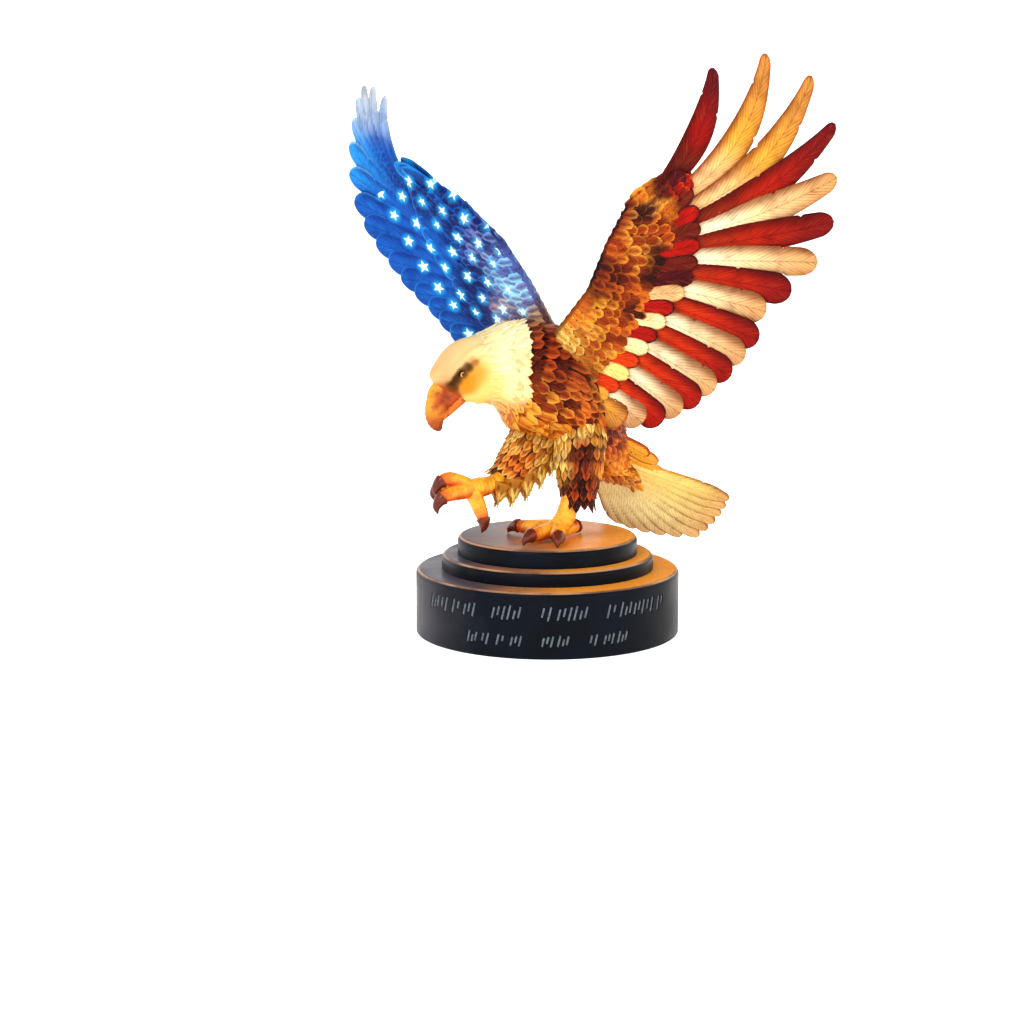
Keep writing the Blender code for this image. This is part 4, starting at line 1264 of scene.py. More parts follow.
def long_cut(rows, shares, blunt, quill):
    """How a flight or tail feather is cut, with carved barbs."""
    sizes = bpy.context.scene.feather_sizes
    barbs = (sizes.barb_pitch, sizes.barb_depth)
    return Cut(rows, ACROSS_MANY, WIDTH_STOPS, shares, blunt, FLIGHT_THICK, quill, 0.0, 0.0, *barbs)


def flight_feathers(coat, wing, paints_of):
    """The wing's long feathers, with the paints that paints_of gives for a number. Each is cut alone, because
    its outline mixes a finger's and a round one's."""
    skin = wing_skin(wing)
    numbers = np.arange(FLIGHT_COUNT)
    root, heading, length, finger, bow = flight_plan(wing, numbers)
    girths = np.interp(numbers, BOW_STOPS, GIRTHS)
    for n in numbers:
        widths = (FINGER_WIDTHS * finger[n] + ROUND_WIDTHS * (1 - finger[n])) * girths[n]
        blunt = FINGER_BLUNT * finger[n] + ROUND_BLUNT * (1 - finger[n])
        cut = long_cut(int(round(length[n] * ROWS_PER_MM)), widths / widths.max(), blunt, 0.35)
        lay(
            coat, skin, *root[n], heading[n], length[n], widths.max(), cut, *paints_of(n),
            bow=bow[n], tilt=FLIGHT_TILT, notches=splits(SEED + int(n)), mood=LONG_MOOD,
        )


FLIGHT_TOP = 2.2
ARM_SHARE_STOPS = (0.0, 0.06, 0.18, 0.4, 0.7, 1.0)
ARM_SHARES = (0.0, 0.72, 1.0, 0.92, 0.5, 0.1)
COVERT_SHARES = (0.0, 0.1, 0.2, 0.3, 0.4, 0.5)
COVERT_FROM, COVERT_TO = -6.0, 99.0
COVERT_PITCH, COVERT_OVERLAP = 5.2, 0.82
GREAT_COVERT_LEAST, GREAT_COVERT_REACH = 14.0, 25.0
GREAT_COVERT_TURN = 0.3
GREAT_COVERT_WIDTH = 9.0
# Feathers from the far wing's wrist along its first flight feather: root, heading in degrees and length.
WRIST_FEATHERS = (
    (95.0, -2.0, 33.0, 26.0),
    (98.0, 2.0, 27.0, 23.0),
    (101.0, 6.0, 22.0, 20.0),
    (104.0, 10.0, 15.0, 17.0),
)
WRIST_WIDTH, WRIST_RISE = 8.0, 1.6


def arm_height(wing, p, q):
    """Half the arm's thickness at a plan point: the depth at p times a profile from the leading edge back,
    and never under the tops of the flight feathers."""
    fore = np.interp(p, ARM_P, wing["leading"])
    aft = np.interp(p, ARM_P, wing["covert_trailing"])
    back = np.clip((q - fore) / (aft - fore), 0.0, 1.0)
    lens = 0.5 * np.interp(p, ARM_P, ARM_THICK) * np.interp(back, ARM_SHARE_STOPS, ARM_SHARES)
    return np.maximum(lens, FLIGHT_TOP * smooth(0.2, 0.6, back))


def covert_places(wing):
    """Staggered rows of coverts along the arm, at shares of the way from its leading to its trailing edge,
    and the row that each is in."""
    starts = [COVERT_FROM + 0.5 * COVERT_PITCH * (k % 2) for k in range(len(COVERT_SHARES))]
    rows = [np.arange(start, COVERT_TO, COVERT_PITCH * COVERT_OVERLAP) for start in starts]
    row = np.repeat(np.arange(len(rows)), [len(places) for places in rows])
    p = np.concatenate(rows)
    fore = np.interp(p, ARM_P, wing["leading"])
    aft = np.interp(p, ARM_P, wing["covert_trailing"])
    return p, fore + (aft - fore) * np.array(COVERT_SHARES)[row], row


def covert_heading(wing, p):
    """The way a covert points in the plan: that of the flight feather whose root is nearest along the arm."""
    root, heading = flight_plan(wing, np.linspace(FLIGHT_COUNT - 1, 0, 60))[:2]
    return np.interp(p, root[:, 0], heading)


def arm(coat, wing, fill):
    """The arm's own core: a closed lens from the leading edge back, under the coverts."""
    p = np.linspace(ARM_P[0], ARM_P[-1] + 1.0, 90)[:, None]
    angle = turns(40)[None]
    fore = np.interp(p, ARM_P, wing["leading"])
    aft = np.interp(p, ARM_P, wing["arm_trailing"])
    q = 0.5 * (fore + aft) + 0.5 * (aft - fore) * np.cos(angle)
    h = 0.5 * np.interp(p, ARM_P, ARM_THICK) * np.sin(angle) * (0.8 - 0.2 * np.cos(angle))
    p = p + 0 * q
    grid = wing_skin(wing)(p, q, h)
    middle = grid.mean(1)
    poles = np.stack((middle[0], middle[-1]))[None]
    plan = np.stack((p, q, 0 * p + 0.5), -1)[None]
    coat.add(grid[None], poles, paint=fill(p, q, None, grid)[None], plan=plan, vane=BARE_VANE)


def coverts(coat, wing, fill, rim, face):
    """Rows of small feathers over the arm on one face of a wing. The rows nearer the edge lie on top, and
    where the leading edge runs in to the first flight feather, the feathers follow it."""
    surface = wing_skin(wing)

    def skin(p, q, h=0.0):
        return surface(p, q, face * arm_height(wing, p, q) + h)

    p, q, row = covert_places(wing)
    along = covert_heading(wing, p)
    lean = np.where(row < 1, 0.35, 0.0) * (along < 1.0)
    edge = np.arctan(np.interp(p, ARM_P, np.gradient(wing["leading"], ARM_P)))
    heading = along + np.maximum(lean, (edge - along) * (1 - 0.15 * row)) + shake(len(p), -0.12, 0.12, 12)
    length = (8.4 + 0.4 * row) * shake(len(p), 0.85, 1.15, 11)
    lay(coat, skin, p, q, heading, length, 5.4 + 0.2 * row, COVERT, fill, rim, face=face)


def great_coverts(coat, wing, fill, rim, face):
    """One long covert over the base of each flight feather but the first. Behind the hand they turn
    outwards, so that each ends on its own feather and begins over the next one's base."""
    surface = wing_skin(wing)
    numbers = np.arange(1.0, FLIGHT_COUNT)
    root, heading = flight_plan(wing, numbers)[:2]
    room = np.interp(root[:, 0], ARM_P, wing["covert_trailing"]) - root[:, 1]
    reach = np.clip(room / np.maximum(np.sin(heading), 0.35), GREAT_COVERT_LEAST, GREAT_COVERT_REACH)
    turned = heading - GREAT_COVERT_TURN * smooth(4.0, 8.0, numbers)
    shift = np.stack((np.cos(heading) - np.cos(turned), np.sin(heading) - np.sin(turned)), -1)
    p, q = (root + reach[:, None] * shift).T

    def skin(p, q, h=0.0):
        return surface(p, q, face * np.maximum(0.6 * arm_height(wing, p, q), FLIGHT_TOP) + h)

    cut = COVERT._replace(
        rows=24, across=ACROSS_MANY, stops=WIDTH_STOPS, shares=TAIL_WIDTHS, blunt=TAIL_BLUNT,
        thick=1.3, sink=-0.2, lift=0.6,
    )
    lay(coat, skin, p, q, turned, reach, GREAT_COVERT_WIDTH, cut, fill, rim, face=face, mood=0.5)


def wrist_feathers(coat, wing, fill, rim, face):
    """A few longer feathers that fill the corner between the arm's end and the first flight feather."""
    surface = wing_skin(wing)

    def skin(p, q, h=0.0):
        return surface(p, q, face * WRIST_RISE + h)

    p, q, heading, length = np.array(WRIST_FEATHERS).T
    cut = COVERT._replace(rows=12)
    lay(coat, skin, p, q, np.radians(heading), length, WRIST_WIDTH, cut, fill, rim, face=face)


# The flight feathers' kinds from the tip in, and each kind's paints at its root, middle, end and rim.
STRIPES = "red gold gold red cream red cream red cream red cream red cream red cream red cream gold".split()
SHADES = {
    "red": ("flame", "red", "wine", "wine"),
    "gold": ("peach", "gold", "ochre", "rust"),
    "cream": ("ivory", "sand", "tan", "ochre"),
}
# The great coverts' paints, from the second flight feather in.
BARS = "wine maroon red maroon red maroon wine peach red cream red cream flame straw flame gold gold".split()
PALE_BARS = ("cream", "straw", "gold", "peach")
ARM_DIM = 0.8
STRIPED_MARKS = (
    (-5.0, 5.0, 10.0, "orange 0.8", "gold"),
    (5.0, -5.0, 9.0, "gold 0.9", "straw"),
    (18.0, 6.0, 7.0, "rust", "gold"),
    (16.0, 15.0, 7.0, "orange 0.8", "gold"),
    (29.0, -13.0, 6.0, "orange", "gold"),
    (34.0, -3.0, 6.0, "rust", "gold"),
    (31.0, 9.0, 5.0, "rust", "orange"),
    (44.0, -10.0, 7.0, "umber", "rust"),
    (50.0, -17.0, 6.0, "umber", "maroon"),
    (48.0, 2.0, 5.0, "rust", "orange"),
    (43.0, 8.0, 4.0, "umber", "orange"),
    (55.0, -8.0, 5.0, "maroon", "orange"),
    (62.0, -18.5, 5.0, "rust", "orange"),
    (62.0, -6.0, 4.5, "rust", "gold"),
    (67.0, -9.0, 4.0, "rust", "gold"),
    (73.0, -15.6, 4.5, "rust", "gold"),
    (77.0, -10.0, 3.5, "rust", "gold"),
    (81.0, -20.5, 3.2, "umber", "ochre"),
    (86.0, -16.5, 3.2, "umber", "ochre"),
    (84.0, -10.5, 3.2, "maroon", "orange"),
    (69.5, -2.0, 5.0, "umber", "maroon"),
    (61.0, 3.0, 5.0, "umber", "maroon"),
    (90.0, -10.3, 3.4, "orange", "gold"),
    (82.0, -3.7, 3.4, "rust", "orange"),
    (89.5, -26.0, 4.0, "orange", "gold"),
    (79.0, -26.5, 5.0, "maroon", "rust"),
    (68.0, -26.0, 5.0, "maroon", "rust"),
    (98.0, -18.0, 4.0, "wine 0.7", "maroon"),
    (103.0, -12.0, 4.0, "red", "flame"),
    (99.0, -6.0, 4.0, "wine", "red"),
)


def stripe(number):
    """The paint functions of one flight feather. The outer red ones start dark and the inner ones orange, and
    the inner creams are lighter."""
    kind = STRIPES[number]
    near, middle, far, edge = (pot(name) for name in SHADES[kind])
    own = middle
    inner = number / (FLIGHT_COUNT - 1)
    if kind == "red":
        near = near * inner + pot("maroon 0.7") * (1 - inner)
        middle = middle * (0.75 + 0.35 * inner) * (1 - 0.7 * inner) + pot("flame 0.7") * inner
        far = far * (1 - inner) + pot("red") * inner
    if kind == "cream":
        middle = middle * (1 - inner) + pot("ivory") * inner

    def fill(p, q, s, grid):
        return between(between(near, middle, smooth(0.3, 0.6, s)), far, 0.85 * smooth(0.5, 0.95, s))

    def rim(p, q, s, grid):
        return between(own, edge, 0.5 + 0.4 * smooth(0.6, 1.0, s))

    return fill, rim


def striped_wing(finish):
    """The near wing: brown coverts with orange edges, and red, cream and gold flight feathers."""
    wing = WINGS["left"]
    coat = Coat()
    fill, rim = (dimmed(paint, ARM_DIM) for paint in airbrush(STRIPED_MARKS))
    arm(coat, wing, dimmed(fill, ARM_DIM))
    flight_feathers(coat, wing, stripe)
    bars = [pot(name) for name in BARS]
    edges = [pot("ochre" if name in PALE_BARS else "wine") for name in BARS]
    for face in (-1.0, 1.0):
        great_coverts(coat, wing, bars, edges, face)
        coverts(coat, wing, fill, rim, face)
    coat.piece("striped_wing", finish, "striped_feathers", "eagle")


BLUE_MARKS = (
    (16.0, -12.0, 12.0, "plum", "peach 0.6"),
    (8.0, 8.0, 12.0, "plum 0.8", "lilac"),
    (28.0, 4.0, 7.0, "lilac 0.7", "peach 0.6"),
    (38.0, -14.0, 8.0, "lilac", "ice"),
    (50.0, -13.0, 8.0, "lilac 0.7 blue 0.3", "ice 0.8"),
    (62.0, -8.0, 9.0, "navy", "lilac"),
    (80.0, 1.0, 10.0, "navy", "blue"),
    (100.0, 9.0, 9.0, "navy", "blue"),
    (115.0, 14.0, 8.0, "navy 0.5 blue 0.5", "azure"),
    (50.0, 10.0, 10.0, "navy", "blue"),
    (36.0, 22.0, 9.0, "navy", "blue"),
    (75.0, 22.0, 11.0, "blue", "azure"),
    (58.0, 36.0, 12.0, "blue", "azure"),
    (95.0, 30.0, 12.0, "blue", "azure"),
    (110.0, 42.0, 12.0, "blue", "azure"),
    (30.0, 40.0, 10.0, "blue 0.8", "azure"),
    (126.0, 36.0, 10.0, "azure", "ice"),
    (130.0, 20.0, 8.0, "blue", "azure"),
    (142.0, 32.0, 9.0, "azure", "ice"),
    (140.0, 8.0, 8.0, "mist 0.4 azure 0.5", "mist"),
    (154.0, 10.0, 12.0, "mist 0.9", "mist"),
    (150.0, 24.0, 8.0, "mist 0.8 azure 0.15", "ice"),
)


def blue_wing(finish):
    """The far wing: airbrushed blues, dark along the hand, and pale streaks near its faded tip."""
    wing = WINGS["right"]
    coat = Coat()
    fill, rim = airbrush(BLUE_MARKS)
    arm(coat, wing, fill)
    flight_feathers(coat, wing, lambda number: (fill, rim))
    for face in (-1.0, 1.0):
        wrist_feathers(coat, wing, fill, rim, face)
        great_coverts(coat, wing, fill, rim, face)
        coverts(coat, wing, fill, rim, face)
    coat.piece("blue_wing", finish, "blue_feathers", "eagle")


# Feathers that run from the rump along the fan's near edge: root, heading in degrees and length.
RUMP_FEATHERS = (
    (-13.0, 8.0, 13.0, 44.0),
    (-14.0, 13.0, 14.0, 34.0),
    (-14.0, 16.5, 10.0, 26.0),
    (-12.0, 4.5, 11.0, 40.0),
    (-11.0, 1.0, 5.0, 34.0),
)
RUMP_WIDTH, RUMP_THICK, RUMP_ROWS = 8.5, 2.0, 60
TAIL_COVERT_RADII, TAIL_COVERT_COUNTS = (4.0, 9.0, 14.0, 19.0), (5, 7, 8, 9)
TAIL_COVERT_LENGTH, TAIL_COVERT_WIDTH = 14.0, 7.0
TAIL_TOP_STOPS, TAIL_TOPS = (0.0, 14.0, 34.0), (4.6, 3.4, 2.2)
TAIL_SEED = 40


def tail(finish):
    """The fanned tail: long round-ended feathers, rows of coverts over their roots on the back, and a few
    longer ones from the rump along the near edge. It goes from cream on one side over straw to ochre."""
    skin = tail_skin()
    coat = Coat()

    def fill(x, y, s, grid):
        side = smooth(-0.35, 0.45, np.arctan2(y, np.maximum(x, 4.0)))
        return between(between(pot("cream"), pot("straw"), side), pot("tan"), 0.8 * smooth(0.5, 1.0, s))

    def rim(x, y, s, grid):
        return between(pot("gold"), pot("ochre 0.6"), smooth(0.3, 1.0, s))

    cut = long_cut(RUMP_ROWS, TAIL_WIDTHS, TAIL_BLUNT, 0.4)
    for n, share in enumerate(np.arange(TAIL_COUNT) * 2 / (TAIL_COUNT - 1) - 1):
        angle = TAIL_HALF_SPREAD * share
        length = np.interp(share, (-1, 0, 1), TAIL_LENGTHS)
        root = np.array((0.0, 0.5 * TAIL_ROOT_SPREAD * share))
        line = length * np.array((math.cos(angle), math.sin(angle))) - root
        lay(
            coat, skin, *root, math.atan2(line[1], line[0]), np.linalg.norm(line), TAIL_WIDTH,
            cut._replace(rows=int(length * ROWS_PER_MM)), fill, rim,
            tilt=FLIGHT_TILT, notches=splits(SEED + TAIL_SEED + n), mood=LONG_MOOD,
        )
    x, y, lean, length = np.array(RUMP_FEATHERS).T
    cut = cut._replace(thick=RUMP_THICK)
    paints = (pot("gold"), pot("rust"))
    lay(coat, skin, x, y, np.radians(lean), length, RUMP_WIDTH, cut, *paints, tilt=FLIGHT_TILT)

    def raised(x, y, h=0.0):
        return skin(x, y, np.interp(x, TAIL_TOP_STOPS, TAIL_TOPS) + h)

    for radius, count in zip(TAIL_COVERT_RADII, TAIL_COVERT_COUNTS):
        angle = np.linspace(-1, 1, count) * TAIL_HALF_SPREAD
        x, y = radius * np.cos(angle), (radius + 0.3 * TAIL_ROOT_SPREAD) * np.sin(angle)
        paints = (pot("rust"), pot("gold"))
        lay(coat, raised, x, y, angle, TAIL_COVERT_LENGTH, TAIL_COVERT_WIDTH, COVERT, *paints)
    coat.piece("tail_feathers", finish, "pale_feathers", "eagle")


# The rows of strokes: middle height, half height, half the row's length along the wall, and its cells.
STROKE_ROWS = ((22.0, 4.0, 64.0, 17), (8.8, 3.2, 38.0, 11))
STROKE_WIDTH = 1.0
# A cell's strokes: place across and up, and length, as shares of the row's height.
STROKE_KINDS = (
    ((-0.3, 0.05, 0.95), (0.02, -0.2, 0.6), (0.34, 0.1, 0.75)),
    ((-0.24, 0.15, 0.65), (0.14, -0.02, 0.95)),
    ((-0.3, -0.12, 0.75), (0.04, 0.18, 0.6), (0.36, -0.04, 0.9)),
    ((-0.2, 0.0, 0.9), (0.2, 0.22, 0.5)),
    (),
)
STROKE_LEAN = math.radians(14.0)
STROKE_ORDER = (0, 1, 3, 2, 4, 2, 0, 4, 1, 2, 0, 4, 3, 0, 2, 1, 3)


def strokes():
    """The strokes on the wall, as arrays of place (arc, z) and half length, and the one way that all lean."""
    places, halves = [], []
    for middle, half, reach, cells in STROKE_ROWS:
        arcs = np.linspace(-reach, reach, cells)
        for arc, kind in zip(arcs, STROKE_ORDER):
            for across, upward, length in STROKE_KINDS[kind]:
                places.append((arc + across * 2 * half, middle + upward * half))
                halves.append(length * half - 0.5 * STROKE_WIDTH)
    way = np.array((math.sin(STROKE_LEAN), math.cos(STROKE_LEAN)))
    return np.array(places), np.array(halves), way


def stroke_distance(arc, z):
    """The distance of each wall point from the nearest stroke's middle line."""
    places, halves, way = strokes()
    nearest = np.full(np.shape(arc), 1e3)
    for place, half in zip(places, halves):
        dx, dz = arc - place[0], z - place[1]
        along = np.clip(dx * way[0] + dz * way[1], -half, half)
        nearest = np.minimum(nearest, np.hypot(dx - along * way[0], dz - along * way[1]))
    return nearest


# Spacing of the wall's points in the grooved front, half the front's arc, and how coarse the rest is.
WALL_FINE = 0.36
FRONT_HALF = 69.0
BACK_COLUMNS = 110
EDGE_STEPS, TOP_STEPS, SMALL_WALL_STEPS = 7, 8, 6
FOOT_ROUND = 0.8
TOP_INNER = 6.0
UNDERSIDE = (50.0, 20.0)
GROOVE_SLOPE = 0.3


def plinth(finish):
    """The turned plinth. Its profile runs from the top's middle over three rounded steps to the underside,
    and is carried round the axis. The front wall's radius drops by the groove depth where a stroke lies."""
    depth = bpy.context.scene.plinth_paints.stroke_depth
    profile = []

    def run(radius, height, top):
        """A stretch of the profile, and 1 for a flat top down to 0 for a wall."""
        profile.append(np.stack(np.broadcast_arrays(np.atleast_1d(radius), height, top), -1).astype(float))

    lean = np.linspace(0.0, 0.5 * math.pi, EDGE_STEPS)
    inner = TOP_INNER
    for k, floor_height in ((2, STEP_TOPS[1]), (1, STEP_TOPS[0]), (0, FOOT_ROUND)):
        radius, top = STEP_RADII[k], STEP_TOPS[k]
        run(np.linspace(inner, radius - EDGE_ROUND - 0.01, TOP_STEPS), top, 1.0)
        out, down = EDGE_ROUND * (1 - np.sin(lean)), EDGE_ROUND * (1 - np.cos(lean))
        run(radius - out, top - down, np.cos(lean) ** 2)
        wall = top - EDGE_ROUND
        count = int((wall - floor_height) / WALL_FINE) if k == 0 else SMALL_WALL_STEPS
        run(radius, np.linspace(wall - 0.05, floor_height, count), 0.0)
        inner = radius
    lean = lean[1:]
    run(STEP_RADII[0] - FOOT_ROUND * (1 - np.cos(lean)), FOOT_ROUND * (1 - np.sin(lean)), 0.0)
    run(UNDERSIDE, 0.0, 0.0)
    radii, heights, tops = np.concatenate(profile).T[..., None]
    wall = STEP_RADII[0]
    front = np.arange(-FRONT_HALF, FRONT_HALF, WALL_FINE)
    back = np.linspace(FRONT_HALF, FULL_TURN * wall - FRONT_HALF, BACK_COLUMNS, endpoint=False)
    arc = np.concatenate((front, back))[None]
    on_wall = (np.abs(radii - wall) < 0.01) & (np.abs(arc) < FRONT_HALF)
    distance = stroke_distance(arc + 0 * radii, heights + 0 * arc)
    groove = smooth(0.5 * STROKE_WIDTH + GROOVE_SLOPE, 0.5 * STROKE_WIDTH, distance)
    out = radii - depth * groove * on_wall
    turn = arc / wall
    grid = np.stack((out * np.sin(turn), -out * np.cos(turn), heights + 0 * turn), -1)
    poles = np.array(((0.0, 0.0, STEP_TOPS[-1]), (0.0, 0.0, 0.0)))
    coat = Coat()
    coat.add(grid[None], poles[None], edge=(tops + 0 * turn)[None, ..., None])
    coat.piece("plinth_body", finish, "plinth", "plinth", crease=35.0)


# A stroke's paint is a capsule: places along its half length, the share of its width there, and its height.
CAPSULE_PLACES = (-1.0, -0.96, -0.8, -0.4, 0.0, 0.4, 0.8, 0.96, 1.0)
CAPSULE_WIDTHS = (0.55, 0.9, 1.0, 1.0, 1.0, 1.0, 1.0, 0.9, 0.55)
CAPSULE_SIDES = 10
CAPSULE_HEIGHT = 0.3


def plinth_strokes(finish):
    """Paint in the grooves: one low capsule for each stroke, half sunk in the groove's floor."""
    depth = bpy.context.scene.plinth_paints.stroke_depth
    places, halves, way = strokes()
    s = np.array(CAPSULE_PLACES)[None, :, None]
    wide = np.array(CAPSULE_WIDTHS)[None, :, None]
    angle = turns(CAPSULE_SIDES)[None, None]
    reach = halves[:, None, None] * s + 0.3 * STROKE_WIDTH * np.sign(s)
    aside = 0.5 * (STROKE_WIDTH + 0.1) * wide * np.cos(angle)
    x = places[:, None, None, 0] + reach * way[0] + aside * way[1]
    z = places[:, None, None, 1] + reach * way[1] - aside * way[0]
    grid = wall_skin(STEP_RADII[0])(x, z, -depth + CAPSULE_HEIGHT * wide * np.sin(angle) + 0 * x)
    middle = grid.mean(2)
    coat = Coat()
    coat.add(grid, np.stack((middle[:, 0], middle[:, -1]), 1))
    coat.piece("plinth_strokes", finish, "lettering", "plinth", crease=60.0)


FLOOR_RINGS, FLOOR_SPOKES = 59, 96
# The lamps: name, place, size and colour. The stage has each one's power under the same name.
LAMPS = (
    ("key", (-0.55, -0.95, 1.0), 0.7, (1.0, 0.97, 0.92)),
    ("fill", (0.95, -0.7, 0.5), 0.9, (1.0, 0.93, 0.84)),
    ("warm", (0.7, 0.75, 0.55), 0.5, (1.0, 0.66, 0.3)),
)
LAMP_AIM = (0.0, 0.0, 0.14)


def floor(settings):
    """A round floor that is flat under the statue and curves up far away: height = rise x smooth(share)^2."""
    share = np.linspace(0.0, 1.0, FLOOR_RINGS + 1)[1:, None]
    turn = turns(FLOOR_SPOKES)[None]
    radius = settings.floor_radius * share
    height = 0.75 * settings.floor_radius * smooth(0.45, 1.05, share) ** 2
    points = np.stack((radius * np.cos(turn), radius * np.sin(turn), height + 0 * turn), -1).reshape(-1, 3)
    quads = tube_faces(FLOOR_RINGS, FLOOR_SPOKES)[:, (0, 3, 2, 1)] + 1
    c = np.arange(FLOOR_SPOKES)
    caps = np.stack((0 * c, 1 + c, 1 + (c + 1) % FLOOR_SPOKES), -1)
    mesh = bpy.data.meshes.new("floor")
    mesh.from_pydata([(0.0, 0.0, 0.0), *points.tolist()], [], quads.tolist() + caps.tolist())
    mesh.shade_smooth()
    g = Graph("pale_floor")
    pale = tuple(settings.floor)
    shade = g.mix(g.noise(3.0, 3.0), pale, tuple(0.985 * x for x in pale))
    g.put(shade, g.shader.inputs["Emission Color"])
    g.shader.inputs["Emission Strength"].default_value = settings.floor_glow
    mesh.materials.append(g.finish(shade, 0.8, specular=0.2))
    made = bpy.data.objects.new("floor", mesh)
    bpy.context.scene.collection.objects.link(made)


def aimed(name, data, place, aim):
    """A lamp or camera at a place, turned to face another."""
    made = bpy.data.objects.new(name, data)
    made.location = place
    made.rotation_euler = (Vector(aim) - Vector(place)).to_track_quat("-Z", "Y").to_euler()
    bpy.context.scene.collection.objects.link(made)
    return made


def stage():
    """Floor, even white surroundings, soft lamps, and the camera at the picture's viewing angle."""
    scene = bpy.context.scene
    settings = scene.eagle_stage
    floor(settings)
    world = bpy.data.worlds.new("studio")
    world.use_nodes = True
    background = world.node_tree.nodes["Background"]
    background.inputs["Color"].default_value = (1.0, 1.0, 1.0, 1.0)
    background.inputs["Strength"].default_value = settings.world
    scene.world = world
    for name, place, size, colour in LAMPS:
        data = bpy.data.lights.new(name, "AREA")
        data.shape = "DISK"
        data.size = size
        data.energy = getattr(settings, name)
        data.color = colour
        aimed(name, data, place, LAMP_AIM).visible_camera = False
    data = bpy.data.cameras.new("camera")
    data.sensor_width = SENSOR
    data.lens = SENSOR * LENS_PIXELS / PICTURE
    data.clip_end = 50.0
    scene.camera = aimed("camera", data, Vector(CAMERA_AT) * MM, Vector(CAMERA_AIM) * MM)
    scene.view_settings.view_transform = "Standard"


def glow(share, *rgb):
    """A share of an sRGB colour, for streaks that lighten the paint."""
    return tuple(share * np.array(ink(*rgb)))


class EAGLE_OT_stage(bpy.types.Operator):
    """Adds the floor, the lamps and the camera"""

    bl_idname = "eagle.stage"
    bl_label = "Stage"

    def execute(self, context):
        stage()
        return {"FINISHED"}


class EAGLE_OT_plinth(bpy.types.Operator):
    """Adds the lacquered plinth and the strokes on its wall"""

    bl_idname = "eagle.plinth"
    bl_label = "Plinth"

    def execute(self, context):
        group = context.scene.plinth_paints
        inks = (tuple(group.lacquer), tuple(group.warm_reflection), tuple(group.sheen), tuple(group.edge_highlight))
        plinth(lacquer("plinth_lacquer", *inks))
        light = tuple(group.stroke)
        plinth_strokes(plain_paint("stroke_paint", light, tuple(0.45 * x for x in light), 0.4))
        return {"FINISHED"}


class EAGLE_OT_body(bpy.types.Operator):
    """Adds the trunk's and the thighs' feathers"""

    bl_idname = "eagle.body"
    bl_label = "Body feathers"

    def execute(self, context):
        finish = feather_paint("brown_feather_paint", 1.2, 0.4, glow(0.35, 240, 140, 50), vary=0.6)
        body(finish)
        thighs(finish)
        return {"FINISHED"}


class EAGLE_OT_head(bpy.types.Operator):
    """Adds the head's feathers, the eyes and the beak"""

    bl_idname = "eagle.head"
    bl_label = "Head"

    def execute(self, context):
        pale = glow(0.3, 255, 250, 220)
        head(feather_paint("pale_feather_paint", 1.3, 0.15, pale, shade_to=0.5, shade=0.22, dirt=0.3))
        eyes(horn_paint("eye_gloss", 0.12, 0.6, 0.1))
        beak(horn_paint("beak_paint", 0.36, 0.0, 0.6))
        return {"FINISHED"}


class EAGLE_OT_feet(bpy.types.Operator):
    """Adds the legs, toes and talons"""

    bl_idname = "eagle.feet"
    bl_label = "Feet"

    def execute(self, context):
        feet(horn_paint("foot_paint", 0.34, 0.05), horn_paint("talon_paint", 0.26, 0.12))
        return {"FINISHED"}


class EAGLE_OT_striped_wing(bpy.types.Operator):
    """Adds the near wing, striped red, cream and gold"""

    bl_idname = "eagle.striped_wing"
    bl_label = "Striped wing"

    def execute(self, context):
        pitch = context.scene.feather_sizes.barb_pitch
        warm = glow(0.18, 240, 120, 30)
        # side paints shade along the overlapped edges of the flight feathers, and shade_to is how far the
        # painted root shade reaches.
        looks = {"shade_to": 0.35, "vary": 0.4, "dirt": 0.9, "side": 0.8}
        striped_wing(feather_paint("striped_feather_paint", pitch, 0.45, warm, **looks))
        return {"FINISHED"}


class EAGLE_OT_blue_wing(bpy.types.Operator):
    """Adds the far wing, blue with pale stars"""

    bl_idname = "eagle.blue_wing"
    bl_label = "Blue wing"

    def execute(self, context):
        sizes = context.scene.feather_sizes
        group = context.scene.eagle_paints
        stars = star_field(tuple(group.star), tuple(group.halo), sizes.star_size)
        cold = glow(0.35, 60, 170, 235)
        # side paints shade along the overlapped edges of the flight feathers, and shade_to is how far the
        # painted root shade reaches.
        looks = {"shade_to": 0.35, "stars": stars, "vary": 0.3, "dark": (0.12, 0.2, 0.45), "side": 0.7}
        blue_wing(feather_paint("blue_feather_paint", sizes.barb_pitch, 0.3, cold, **looks))
        return {"FINISHED"}


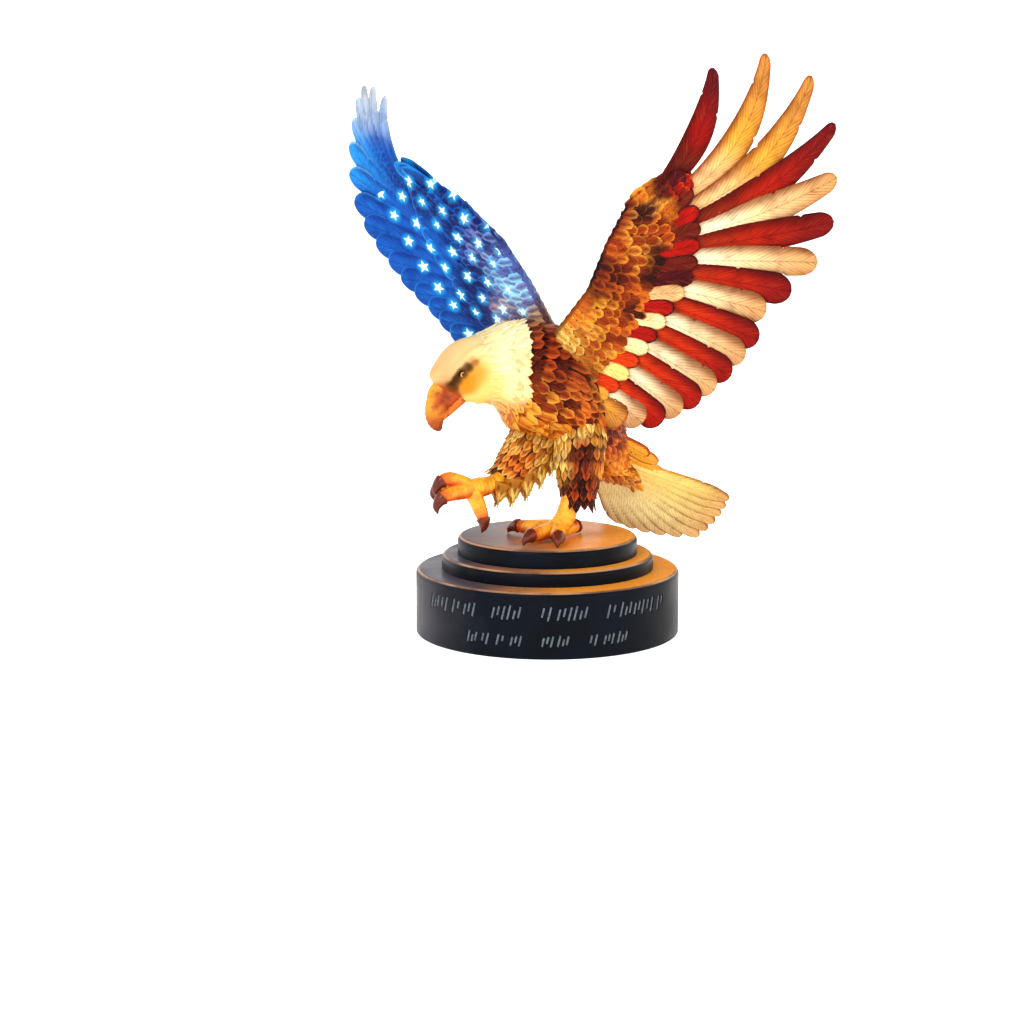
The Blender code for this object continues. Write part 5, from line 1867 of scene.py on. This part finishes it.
class EAGLE_OT_tail(bpy.types.Operator):
    """Adds the fanned tail"""

    bl_idname = "eagle.tail"
    bl_label = "Tail"

    def execute(self, context):
        pitch = context.scene.feather_sizes.barb_pitch
        pale = glow(0.3, 255, 230, 150)
        # side paints shade along the overlapped edges of the tail feathers, and shade_to is how far the
        # painted root shade reaches.
        tail(feather_paint("tail_feather_paint", pitch, 0.35, pale, shade_to=0.25, dirt=0.45, side=0.6))
        return {"FINISHED"}


class EAGLE_PT_panel(bpy.types.Panel):
    """Lists the eagle's pieces and their settings"""

    bl_idname = "EAGLE_PT_panel"
    bl_label = "Garden eagle"
    bl_space_type = "VIEW_3D"
    bl_region_type = "UI"
    bl_category = "Eagle"

    def draw(self, context):
        for operator in OPERATORS:
            self.layout.operator(operator.bl_idname)
        for name, group in GROUPS.items():
            box = self.layout.box()
            settings = getattr(context.scene, name)
            for field in group.__annotations__:
                box.prop(settings, field)


GROUPS = {
    "eagle_paints": EaglePaints,
    "plinth_paints": PlinthPaints,
    "feather_sizes": FeatherSizes,
    "eagle_stage": StageSettings,
}
OPERATORS = (
    EAGLE_OT_stage,
    EAGLE_OT_plinth,
    EAGLE_OT_body,
    EAGLE_OT_head,
    EAGLE_OT_feet,
    EAGLE_OT_striped_wing,
    EAGLE_OT_blue_wing,
    EAGLE_OT_tail,
)


def register():
    for name, group in GROUPS.items():
        bpy.utils.register_class(group)
        setattr(bpy.types.Scene, name, bpy.props.PointerProperty(type=group))
    for made in (*OPERATORS, EAGLE_PT_panel):
        bpy.utils.register_class(made)


def unregister():
    for made in reversed((*OPERATORS, EAGLE_PT_panel)):
        bpy.utils.unregister_class(made)
    for name, group in reversed(GROUPS.items()):
        delattr(bpy.types.Scene, name)
        bpy.utils.unregister_class(group)


def main():
    register()
    bpy.ops.eagle.stage()
    bpy.ops.eagle.plinth()
    bpy.ops.eagle.body()
    bpy.ops.eagle.head()
    bpy.ops.eagle.feet()
    bpy.ops.eagle.striped_wing()
    bpy.ops.eagle.blue_wing()
    bpy.ops.eagle.tail()


if __name__ == "__main__":
    main()
